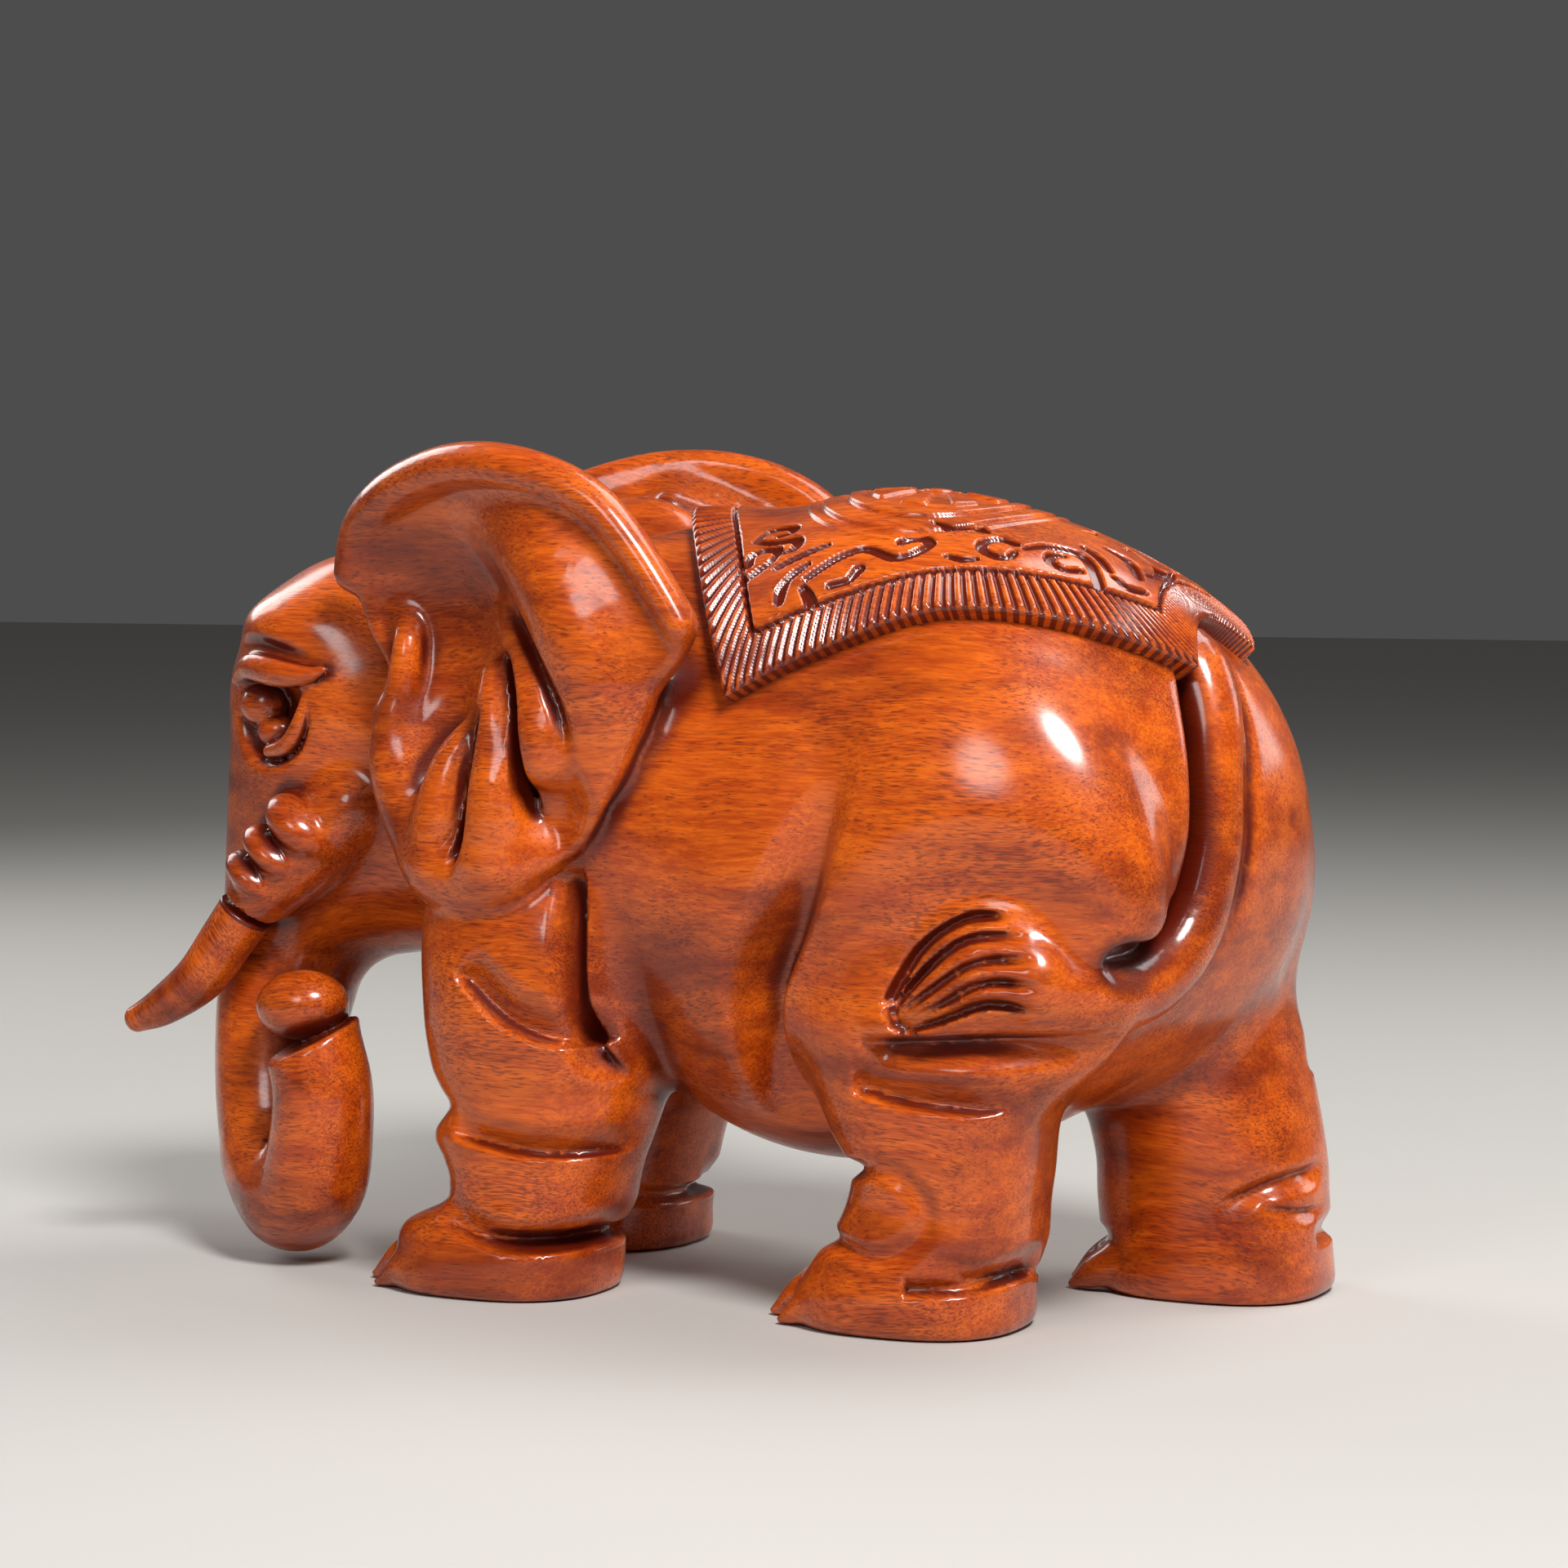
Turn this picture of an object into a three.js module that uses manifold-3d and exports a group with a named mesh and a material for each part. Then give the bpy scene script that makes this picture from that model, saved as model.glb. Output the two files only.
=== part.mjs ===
// Carved wooden elephant: one block carved in the round with its ears, saddle cloth, trunk and
// tail, and two separate tusks whose round tenons plug into sockets under the cheeks.
// Millimetres, +Z up. The elephant faces -Y and stands on Z = 0; +X is its left side.
import * as THREE from "three";
import { mergeVertices } from "three/addons/utils/BufferGeometryUtils.js";
import Module from "manifold-3d";

const wasm = await Module();
wasm.setup();

// ---- driving dimensions ----
const gap = 0.3; // clear space all round a plugged-in tusk
const clothThickness = 4.5; // how far the saddle cloth stands proud of the back
const earHalfThickness = 5;
const tenonRadius = 4;
const tenonLength = 12;
const pullOut = 40; // length of the clear way that a tusk needs to come out
const wood = { color: 0xb5481a, roughness: 0.28, metalness: 0 };

// Rounded masses: centre, radii, and a turn about X where there is one.
const torso = { at: [0, 58, 114], radii: [61, 87, 79.5] };
const rump = { at: [0, 96, 120], radii: [48, 51, 60] };
const shoulders = { at: [0, 2, 124], radii: [56, 54, 67] };
const leftButtock = { at: [20, 93, 114], radii: [40, 44, 60] };
const rightButtock = { at: [-21, 108, 112], radii: [39, 46, 58] };
const middleMasses = [
  torso,
  rump,
  shoulders,
  leftButtock,
  rightButtock,
  { at: [0, 38, 100], radii: [57, 60, 65] },
  { at: [0, -44, 132], radii: [44, 48, 54] },
  { at: [0, -98, 143], radii: [37, 40, 41.5] },
  { at: [0, -102, 112], radii: [31, 33, 36] },
  { at: [0, -68, 104], radii: [26, 38, 26] },
];
const sideMasses = [
  { at: [42, -34, 150], radii: [20, 38, 44] }, // wood left behind the ear
  { at: [37, -24, 96], radii: [24, 32, 40] }, // shoulder over the front leg
  { at: [22, -112, 154], radii: [13, 19, 8], turn: -0.25 }, // brow
  { at: [26, -114, 144], radii: [7, 9, 7] }, // eye
  { at: [27, -104, 101], radii: [13, 15, 15] }, // cheek
  { at: [30, -99, 115], radii: [8, 11, 7], turn: -0.6 }, // rolls of the cheek
  { at: [32, -106, 106], radii: [8, 9, 6], turn: -0.6 },
];
const leftHip = { at: [33, 84, 92], radii: [28, 42, 44] };
const rightHip = { at: [-33, 104, 92], radii: [28, 40, 44] };

// Each leg is a stack of level rings: centre x, centre y, height, half width, half length.
const frontLeg = [
  [37, -24, 112, 10, 12],
  [37, -27, 96, 23.5, 28],
  [37, -28, 66, 25, 30],
  [37, -24, 49, 22.5, 24],
  [37, -25, 41, 24, 27],
  [37, -24, 34, 22, 24],
  [37, -23, 23, 22.5, 23],
  [37, -29, 17, 24.5, 29],
  [37, -33, 9, 26, 35.5],
  [37, -34, 3, 26.5, 38],
  [37, -34, 0, 25.5, 36.5],
];
const hindLeg = [
  [36, 84, 108, 12, 18],
  [37, 83, 90, 25, 34],
  [37, 83, 66, 25, 33],
  [37, 86, 50, 23, 29],
  [37, 86, 42, 24.5, 29.5],
  [37, 88, 35, 22, 25],
  [37, 86, 26, 24, 26.5],
  [37, 83, 20, 24, 28],
  [37, 79, 11, 26, 32],
  [37, 77.5, 3, 26.5, 33],
  [37, 77.5, 0, 25.5, 32],
];
// Each right leg is a left one moved along Y by a stride that grows towards the ground.
const rightFrontStride = (z) => -22 + 0.12 * z;
const rightHindStride = (z) => 46 - 0.27 * z;

// The trunk hangs, swings to the left and curls back up: centre, half width, half depth.
const trunkPath = [
  [0, -110, 126, 26, 24],
  [2, -114, 104, 24, 22],
  [7, -118, 80, 20, 19.5],
  [14, -119, 55, 17, 17],
  [22, -116, 31, 16, 16],
  [29, -106, 17.5, 15.5, 15],
  [36, -95, 27, 14, 13.5],
  [38, -94, 43, 12.5, 12.5],
  [37, -98, 56, 11.5, 11.5],
];
const trunkTip = { at: [36, -100, 65.5], radii: [11.5, 12.5, 10] };

// The tail lies in the groove of the rump, curls to the left and ends in a tuft on the thigh.
const tailPath = [
  [0, 130, 160, 7, 7],
  [0, 142, 142, 7.5, 9],
  [0, 147, 118, 8, 9],
  [4, 146, 98, 9, 9],
  [17, 141, 84, 9.5, 9.5],
  [34, 131, 80, 9.5, 10],
  [49, 119, 82, 9, 11],
  [56.5, 108, 87, 8, 14],
  [59, 94, 84, 7.5, 13.5],
  [59.5, 82, 77, 6, 8],
  [60, 75, 72, 3, 3],
];

// Outline of the ear seen from the side, and the point that it is carved around: y, z.
const earOutline = [
  [-84, 184], [-70, 200], [-48, 208.5], [-26, 210.5], [-6, 206.5], [12, 196], [26, 181], [32, 166],
  [27, 150], [14, 136], [3, 122], [-6, 109], [-22, 100], [-41, 97.5], [-54, 104], [-59, 118],
  [-70, 129], [-73, 138], [-72, 150], [-80, 166],
];
const earMiddle = [-30, 156];

// Half of the saddle cloth's long edge, from the front corner back: x, y.
const clothEdge = [
  [54, 33], [49, 58], [42, 92], [36, 124], [25, 141],
];

// A tusk's centre line from its shoulder to its tip, with the radius: x, y, z, radius.
const tuskPath = [
  [35, -114, 91, 7.3],
  [35.4, -120.2, 82.6, 7.1],
  [36, -128, 72.8, 6.6],
  [36.5, -139, 65, 5.2],
  [37, -147.5, 61.2, 3.4],
];

// ---- geometry helpers ----

// A closed three.js geometry as a manifold-3d solid.
function solidOf(geometry) {
  const bare = geometry.clone();
  bare.deleteAttribute("normal");
  bare.deleteAttribute("uv");
  const merged = mergeVertices(bare, 1e-4);
  return new wasm.Manifold(
    new wasm.Mesh({
      numProp: 3,
      vertProperties: merged.attributes.position.array,
      triVerts: new Uint32Array(merged.index.array),
    }),
  );
}

// A manifold-3d solid as a three.js geometry.
function geometryOf(solid) {
  const mesh = solid.getMesh();
  const geometry = new THREE.BufferGeometry();
  geometry.setAttribute("position", new THREE.BufferAttribute(mesh.vertProperties, 3));
  geometry.setIndex(new THREE.BufferAttribute(mesh.triVerts, 1));
  geometry.computeVertexNormals();
  return geometry;
}

// The same geometry on the other side of X = 0, its faces turned to point out again.
function mirrored(geometry) {
  const copy = geometry.clone().scale(-1, 1, 1);
  const index = copy.index.array;
  for (let i = 0; i < index.length; i += 3) {
    [index[i + 1], index[i + 2]] = [index[i + 2], index[i + 1]];
  }
  return copy;
}

function roundedMass({ at, radii, turn = 0 }, around = 22, down = 13) {
  return new THREE.SphereGeometry(1, around, down)
    .scale(...radii)
    .rotateX(turn)
    .translate(...at);
}

// A skin over closed rings of points, with each end ring closed to its own middle.
function skin(rings) {
  const sides = rings[0].length;
  const middle = (ring) =>
    ring.reduce((sum, p) => sum.add(p), new THREE.Vector3()).multiplyScalar(1 / sides);
  const points = [...rings.flat(), middle(rings[0]), middle(rings.at(-1))];
  const start = points.length - 2;
  const end = points.length - 1;
  const last = (rings.length - 1) * sides;
  const faces = [];
  for (let i = 0; i < sides; i++) {
    const j = (i + 1) % sides;
    faces.push(start, j, i, end, last + i, last + j);
    for (let row = 0; row < rings.length - 1; row++) {
      const a = row * sides + i;
      const b = row * sides + j;
      faces.push(a, b, b + sides, a, b + sides, a + sides);
    }
  }
  return new THREE.BufferGeometry().setFromPoints(points).setIndex(faces);
}

// A tube along a smooth path with an oval section that changes: x, y, z, half width, half depth.
// Its far end is rounded, and its near end too unless that is to be left flat.
function limb(stations, sides, stepsPerSpan, flatStart = false) {
  const curve = (pick) => new THREE.CatmullRomCurve3(stations.map(pick));
  const centres = curve(([x, y, z]) => new THREE.Vector3(x, y, z));
  const sizes = curve(([, , , wide, deep = wide]) => new THREE.Vector3(wide, deep, 0));
  const ring = (t, along, shrink) => {
    const tangent = centres.getTangent(t);
    const centre = centres.getPoint(t).addScaledVector(tangent, along);
    const size = sizes.getPoint(t).multiplyScalar(shrink);
    const depth = new THREE.Vector3(1, 0, 0).cross(tangent).normalize();
    const width = depth.clone().cross(tangent).normalize();
    return Array.from({ length: sides }, (_, i) => {
      const angle = (2 * Math.PI * i) / sides;
      return centre
        .clone()
        .addScaledVector(width, size.x * Math.cos(angle))
        .addScaledVector(depth, size.y * Math.sin(angle));
    });
  };
  const steps = (stations.length - 1) * stepsPerSpan;
  const body = Array.from({ length: steps + 1 }, (_, i) => ring(i / steps, 0, 1));
  const dome = (t, reach) =>
    [0.5, 1, 1.35].map((angle) => ring(t, reach * Math.sin(angle), Math.cos(angle)));
  const startDome = flatStart ? [] : dome(0, -stations[0][3]).reverse();
  return skin([...startDome, ...body, ...dome(1, stations.at(-1)[3])]);
}

// A stack of level, slightly squared rings, moved along Y by a stride that depends on height.
function column(rows, stride = () => 0, sides = 20) {
  const squared = (value) => Math.sign(value) * Math.abs(value) ** 0.8;
  const rings = [...rows].reverse().map(([x, y, z, wide, long]) =>
    Array.from({ length: sides }, (_, i) => {
      const angle = (2 * Math.PI * i) / sides;
      const along = y + stride(z) + long * squared(Math.sin(angle));
      return new THREE.Vector3(x + wide * squared(Math.cos(angle)), along, z);
    }),
  );
  return skin(rings);
}

// ---- the carved block ----

// How far the ear stands off the middle plane at y: it leaves the head and flares to the rear.
function earStandOff(y) {
  return 67 - 30 * (Math.max(0, -10 - y) / 80) ** 1.5;
}

// The ear is a leaf: shrinking copies of its outline, dished towards the middle.
function ear() {
  const outline = new THREE.CatmullRomCurve3(
    earOutline.map(([y, z]) => new THREE.Vector3(0, y, z)),
    true,
  );
  const edge = outline.getPoints(30).slice(0, 30);
  const middle = new THREE.Vector3(0, ...earMiddle);
  const rings = [];
  for (let step = 1; step < 10; step++) {
    const angle = (Math.PI * step) / 10;
    const spread = Math.sin(angle);
    const side = Math.sign(Math.cos(angle)) * Math.abs(Math.cos(angle)) ** 0.6;
    rings.push(
      edge.map((p) => {
        const point = middle.clone().lerp(p, spread);
        point.x = earStandOff(point.y) - 7 * (1 - spread ** 2) + earHalfThickness * side;
        return point;
      }),
    );
  }
  return skin(rings);
}

// Height of the back over x, y: the highest of the masses that carry the cloth.
function backHeight(x, y) {
  const heights = [torso, rump, shoulders, leftButtock, rightButtock].map(({ at, radii }) => {
    const room = 1 - ((x - at[0]) / radii[0]) ** 2 - ((y - at[1]) / radii[1]) ** 2;
    return at[2] + radii[2] * Math.sqrt(Math.max(room, 0.02));
  });
  return Math.max(...heights);
}

// A point at a depth above the back, square to its surface.
function overBack(x, y, depth) {
  const slopeX = backHeight(x + 0.5, y) - backHeight(x - 0.5, y);
  const slopeY = backHeight(x, y + 0.5) - backHeight(x, y - 0.5);
  const normal = new THREE.Vector3(-slopeX, -slopeY, 1).normalize();
  return new THREE.Vector3(x, y, backHeight(x, y)).addScaledVector(normal, depth);
}

// The saddle cloth is draped over the back: a front edge that runs back as it falls, two long
// edges arched between the corners, and a rear edge over the rump.
function saddleCloth() {
  const across = 14;
  const along = 12;
  const edge = new THREE.CatmullRomCurve3(clothEdge.map(([x, y]) => new THREE.Vector3(x, y, 0)));
  const place = (i, j, depth) => {
    const u = (2 * i) / across - 1;
    const v = j / along;
    const corner = edge.getPoint(v);
    const spineY = THREE.MathUtils.lerp(-3, 134, v);
    const y = spineY + (corner.y - spineY) * Math.abs(u) ** 1.3;
    return overBack(corner.x * u, y, depth);
  };
  const border = [];
  for (let i = 0; i < across; i++) border.push([i, 0]);
  for (let j = 0; j < along; j++) border.push([across, j]);
  for (let i = across; i > 0; i--) border.push([i, along]);
  for (let j = along; j > 0; j--) border.push([0, j]);
  const points = [];
  for (const depth of [-5, clothThickness]) {
    for (let j = 0; j <= along; j++) {
      for (let i = 0; i <= across; i++) points.push(place(i, j, depth));
    }
  }
  const layer = points.length / 2;
  const id = (i, j, top) => top * layer + j * (across + 1) + i;
  const faces = [];
  for (let j = 0; j < along; j++) {
    for (let i = 0; i < across; i++) {
      const quad = (top) => [id(i, j, top), id(i + 1, j, top), id(i + 1, j + 1, top), id(i, j + 1, top)];
      const [a, b, c, d] = quad(1);
      const [e, f, g, h] = quad(0);
      faces.push(a, b, c, a, c, d, e, g, f, e, h, g);
    }
  }
  border.forEach(([i, j], n) => {
    const [k, l] = border[(n + 1) % border.length];
    faces.push(id(i, j, 0), id(k, l, 0), id(k, l, 1), id(i, j, 0), id(k, l, 1), id(i, j, 1));
  });
  return new THREE.BufferGeometry().setFromPoints(points).setIndex(faces);
}

// Unit vector along a tusk's tenon, out of the socket.
const tuskOut = new THREE.Vector3(...tuskPath[1].slice(0, 3))
  .sub(new THREE.Vector3(...tuskPath[0].slice(0, 3)))
  .normalize();

// A round bar along the tenon's line, between two distances from the tusk's shoulder.
function barOnTusk(radius, from, to) {
  const shoulder = new THREE.Vector3(...tuskPath[0].slice(0, 3));
  const lie = new THREE.Quaternion().setFromUnitVectors(new THREE.Vector3(0, 1, 0), tuskOut);
  const middle = shoulder.addScaledVector(tuskOut, (from + to) / 2);
  return new THREE.CylinderGeometry(radius, radius, to - from, 24)
    .applyQuaternion(lie)
    .translate(middle.x, middle.y, middle.z);
}

// The lip of wood that the tusk comes out of.
function tuskSheath() {
  return barOnTusk(9.2, -16, 0);
}

// What is cut from the block for one tusk: its socket and the clear way in front of it.
function tuskRoom() {
  const widened = tuskPath.map(([x, y, z, radius]) => [x, y, z, radius + gap]);
  return [
    barOnTusk(tenonRadius + gap, -tenonLength - 1, 1),
    barOnTusk(tuskPath[0][3] + gap, 0, pullOut),
    limb(widened, 20, 2, true),
  ];
}

function carvedBody() {
  const bothSides = [ear(), tuskSheath(), ...sideMasses.map((mass) => roundedMass(mass, 14, 9))];
  const added = [
    ...middleMasses.map((mass) => roundedMass(mass)),
    roundedMass(leftHip),
    roundedMass(rightHip),
    ...bothSides,
    ...bothSides.map(mirrored),
    column(frontLeg),
    mirrored(column(frontLeg, rightFrontStride)),
    column(hindLeg),
    mirrored(column(hindLeg, rightHindStride)),
    limb(trunkPath, 18, 2),
    roundedMass(trunkTip, 16, 10),
    limb(tailPath, 12, 2),
    saddleCloth(),
  ];
  const cut = [...tuskRoom(), ...tuskRoom().map(mirrored)];
  const block = added.map(solidOf).reduce((sum, next) => sum.add(next));
  return geometryOf(cut.map(solidOf).reduce((rest, next) => rest.subtract(next), block));
}

// ---- the tusks ----

// A tusk with its tenon, in its own frame: the middle of its shoulder is the origin.
function tusk() {
  const blade = solidOf(limb(tuskPath, 20, 2, true));
  const tenon = solidOf(barOnTusk(tenonRadius, -tenonLength, 2));
  const [x, y, z] = tuskPath[0];
  return geometryOf(blade.add(tenon)).translate(-x, -y, -z);
}

// ---- assembly ----

function named(name, geometry) {
  const mesh = new THREE.Mesh(geometry, new THREE.MeshStandardMaterial(wood));
  mesh.name = name;
  return mesh;
}

const elephant = new THREE.Group();
elephant.name = "carved_wooden_elephant";
elephant.add(named("carved_body", carvedBody()));

const [shoulderX, shoulderY, shoulderZ] = tuskPath[0];
const leftTusk = named("tusk_left", tusk());
leftTusk.position.set(shoulderX, shoulderY, shoulderZ).addScaledVector(tuskOut, gap);
elephant.add(leftTusk);

const rightTusk = named("tusk_right", mirrored(tusk()));
rightTusk.position.copy(leftTusk.position).setX(-leftTusk.position.x);
elephant.add(rightTusk);

// The origin is under the middle of the bounding box.
elephant.updateMatrixWorld(true);
const box = new THREE.Box3().setFromObject(elephant, true);
elephant.position.set(-(box.min.x + box.max.x) / 2, -(box.min.y + box.max.y) / 2, -box.min.z);

export default elephant;
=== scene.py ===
# The carved elephant: one block carved in the round, a saddle cloth worked in relief on its back,
# and two plugged-in tusks, all in the same lacquered red wood.
import math
import bmesh
import bpy
import numpy as np
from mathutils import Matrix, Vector


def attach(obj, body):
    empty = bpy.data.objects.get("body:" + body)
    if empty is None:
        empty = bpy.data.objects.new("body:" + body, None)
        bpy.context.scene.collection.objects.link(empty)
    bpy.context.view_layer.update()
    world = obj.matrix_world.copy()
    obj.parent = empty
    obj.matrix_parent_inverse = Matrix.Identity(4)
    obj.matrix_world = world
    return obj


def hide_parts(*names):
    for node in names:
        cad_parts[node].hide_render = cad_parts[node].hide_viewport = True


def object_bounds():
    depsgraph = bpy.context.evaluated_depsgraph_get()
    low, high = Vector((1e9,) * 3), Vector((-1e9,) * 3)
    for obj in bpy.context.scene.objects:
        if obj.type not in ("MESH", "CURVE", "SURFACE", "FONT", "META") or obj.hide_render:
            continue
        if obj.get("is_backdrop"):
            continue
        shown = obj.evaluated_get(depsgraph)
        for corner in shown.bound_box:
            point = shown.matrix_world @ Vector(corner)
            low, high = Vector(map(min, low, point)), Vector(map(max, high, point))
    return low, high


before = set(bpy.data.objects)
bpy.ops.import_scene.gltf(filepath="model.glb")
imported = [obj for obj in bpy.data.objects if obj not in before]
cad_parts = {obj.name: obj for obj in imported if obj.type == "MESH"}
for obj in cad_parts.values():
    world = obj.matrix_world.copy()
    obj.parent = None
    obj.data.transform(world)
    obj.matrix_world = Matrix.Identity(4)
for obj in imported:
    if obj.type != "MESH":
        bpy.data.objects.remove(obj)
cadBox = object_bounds()

# The block is worked out as one smooth field, in millimetres. A field is a distance: below nought
# inside the wood, above nought outside it, and farOff where no shape reaches.
farOff = 60


def vec(*numbers):
    return np.array(numbers, np.float32)


# Catmull-Rom between b and c: half of (2b + (c-a)t + (2a-5b+4c-d)t2 + (3b-a-3c+d)t3)
def between(a, b, c, d, t):
    return 0.5 * (2 * b + (c - a) * t + (2 * a - 5 * b + 4 * c - d) * t**2 + (3 * b - a - 3 * c + d) * t**3)


# smooth curve through points, at even steps of the spans
def curveThrough(points, count, closed=False):
    points = np.asarray(points, float)
    n = len(points)
    spans = n if closed else n - 1
    s = np.linspace(0, spans, count, endpoint=not closed)
    i = np.minimum(s.astype(int), spans - 1)
    t = (s - i)[:, None]
    pick = (lambda k: points[(i + k) % n]) if closed else (lambda k: points[np.clip(i + k, 0, n - 1)])
    return between(pick(-1), pick(0), pick(1), pick(2), t)


# rises smoothly from 0 at a to 1 at b: 3t2 - 2t3
def ease(x, a, b):
    t = np.clip((x - a) / (b - a), 0, 1)
    return t * t * (3 - 2 * t)


# union rounded over k: the smaller distance less h2 k / 4, where h = 1 - |a-b| / k
def softUnion(a, b, k):
    h = np.maximum(1 - np.abs(a - b) / k, 0)
    return np.minimum(a, b) - h * h * k * 0.25


# ellipsoid, turned about X: with q = |p/r| and g = |p/r2|, the distance is about q (q - 1) / g
def egg(at, radii, turn=0):
    at, radii = vec(*at), vec(*radii)
    c, s = math.cos(turn), math.sin(turn)
    spin = np.array([[1, 0, 0], [0, c, -s], [0, s, c]], np.float32)

    def distance(p):
        q = (p - at) @ spin
        near = np.sqrt(((q / radii) ** 2).sum(1))
        slope = np.sqrt(((q / radii**2) ** 2).sum(1)) + 1e-6
        return near * (near - 1) / slope

    reach = np.abs(spin) @ radii
    return distance, at - reach, at + reach


# distance to a chain of short straight pieces, how far along it the nearest place is, 0 to 1, and, for
# a flat chain, whether a point lies over it: dy wz - dz wy > 0
def alongChain(p, chain):
    best = np.full(len(p), 1e9, np.float32)
    place = np.zeros(len(p), np.float32)
    over = np.zeros(len(p), bool)
    spans = len(chain) - 1
    for i in range(spans):
        a, d = chain[i], chain[i + 1] - chain[i]
        w = p - a
        t = np.clip(w @ d / max(float(d @ d), 1e-9), 0, 1)
        off = ((w - t[:, None] * d) ** 2).sum(1)
        closer = off < best
        best = np.where(closer, off, best)
        place = np.where(closer, (i + t) / spans, place)
        if len(d) == 2:
            over = np.where(closer, d[0] * w[:, 1] - d[1] * w[:, 0] > 0, over)
    return np.sqrt(best), place, over


# round bar along a smooth path, its radius running through the last column of the stations
def bar(stations, steps=4):
    line = curveThrough(stations, (len(stations) - 1) * steps + 1).astype(np.float32)
    chain, radius = line[:, :3], line[:, 3]
    spots = np.linspace(0, 1, len(line))

    def distance(p):
        off, place, _ = alongChain(p, chain)
        return off - np.interp(place, spots, radius).astype(np.float32)

    most = radius.max()
    return distance, chain.min(0) - most, chain.max(0) + most


# crease drawn in the (y, z) plane and pressed in from the side: depth x (1 - ease(t / width)), with its
# own width above the line and below it, fading at both ends and towards the middle of the block
def fold(path, depth, above, below, inner=20, ends=(0.15, 0.25), side=1, shift=0, outer=90):
    path = np.asarray(path, float) + (shift, 0)
    chain = curveThrough(path, (len(path) - 1) * 4 + 1).astype(np.float32)

    def change(p, f):
        off, place, over = alongChain(p[:, 1:], chain)
        press = 1 - ease(off / np.where(over, above, below), 0, 1)
        fade = ease(place, -0.001, ends[0]) * (1 - ease(place, 1 - ends[1], 1.001))
        reach = ease(side * p[:, 0], inner, inner + 10) * (1 - ease(side * p[:, 0], outer, outer + 8))
        return f + depth * press * fade * reach

    wide = max(above, below) + 1
    low = vec(-95, *(chain.min(0) - wide))
    high = vec(95, *(chain.max(0) + wide))
    if inner > -50:
        low[0], high[0] = (inner, 95) if side > 0 else (-95, -inner)
    return low, high, change


# a step adds to the block or cuts from it: the corners of the box it reaches, and how it changes the field
def joined(shape, k):
    distance, low, high = shape
    return low - k - 4, high + k + 4, lambda p, f: softUnion(f, distance(p), k)


def cutAway(shape, k):
    distance, low, high = shape
    return low - k - 4, high + k + 4, lambda p, f: -softUnion(-f, distance(p), k)


# the same step on both sides of the block: the point is folded over to +X first
def bothSides(step):
    low, high, change = step

    def folded(p, f):
        q = p.copy()
        q[:, 0] = np.abs(q[:, 0])
        inside = np.all((q > low) & (q < high), axis=1)
        out = f.copy()
        out[inside] = change(q[inside], f[inside])
        return out

    wide = np.array([-high[0], low[1], low[2]])
    return wide, high, folded


# the field at points: each step in turn, inside its own box only
def fieldOf(p, steps):
    f = np.full(len(p), farOff, np.float32)
    for low, high, change in steps:
        inside = np.nonzero(np.all((p > low) & (p < high), axis=1))[0]
        if len(inside):
            f[inside] = change(p[inside], f[inside])
    return f


# leg: at each height a rounded square, |dx/a|^n + |dy/b|^n = 1, cut flat at the floor
def leg(rows, side, squareness=2.5):
    rows = np.asarray(rows, float)
    rows = rows[np.argsort(rows[:, 0])]
    heights = np.linspace(0, rows[-1, 0], 120)
    smooth = curveThrough(rows, 400)
    table = np.array([np.interp(heights, smooth[:, 0], smooth[:, k]) for k in range(1, 5)])

    def distance(p):
        x, y, a, b = (np.interp(p[:, 2], heights, row) for row in table)
        dx, dy = p[:, 0] - side * x, p[:, 1] - y
        far = np.hypot(dx, dy) + 1e-6
        k = ((np.abs(dx) / a) ** squareness + (np.abs(dy) / b) ** squareness) ** (1 / squareness) + 1e-6
        wall = far * (1 - 1 / k)
        above = p[:, 2] - heights[-1] + 6
        return np.maximum(wall, above).astype(np.float32)

    x, y, a, b = table
    low = vec((side * x).min() - a.max(), (y - b).min(), -2)
    high = vec((side * x).max() + a.max(), (y + b).max(), heights[-1])
    return distance, low, high


# masses of the block: middle and radii of each; then the room it is meshed in and the size of a cell
body = dict(
    torso=[
        ((0, 55.5, 114), (60, 86, 79)),
        ((0, 36, 100), (56, 60, 64)),
        ((0, 0, 124), (54, 53, 66)),
        ((0, 93.5, 120), (47, 51, 60)),
        ((20, 90, 116), (39, 44, 60)),
        ((-21, 105.5, 112), (38, 46, 58)),
    ],
    thighs=[
        ((35, 81, 92), (25, 37, 44)),
        ((-35, 100, 92), (25, 38, 42)),
        ((42, 94, 104), (22.5, 45, 52)),
        ((-42, 104, 104), (22, 42, 50)),
    ],
    head=[
        ((0, -46, 132), (42, 46, 52)),
        ((0, -98, 143), (36, 40, 41)),
        ((0, -104, 112), (30, 32, 36)),
        ((0, -72, 104), (25, 36, 25)),
    ],
    room=((-80, 80), (-150, 162), (-4, 216)),
    cell=1.15,
    quickCell=2.2,
    triangles=196000,
)

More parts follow.
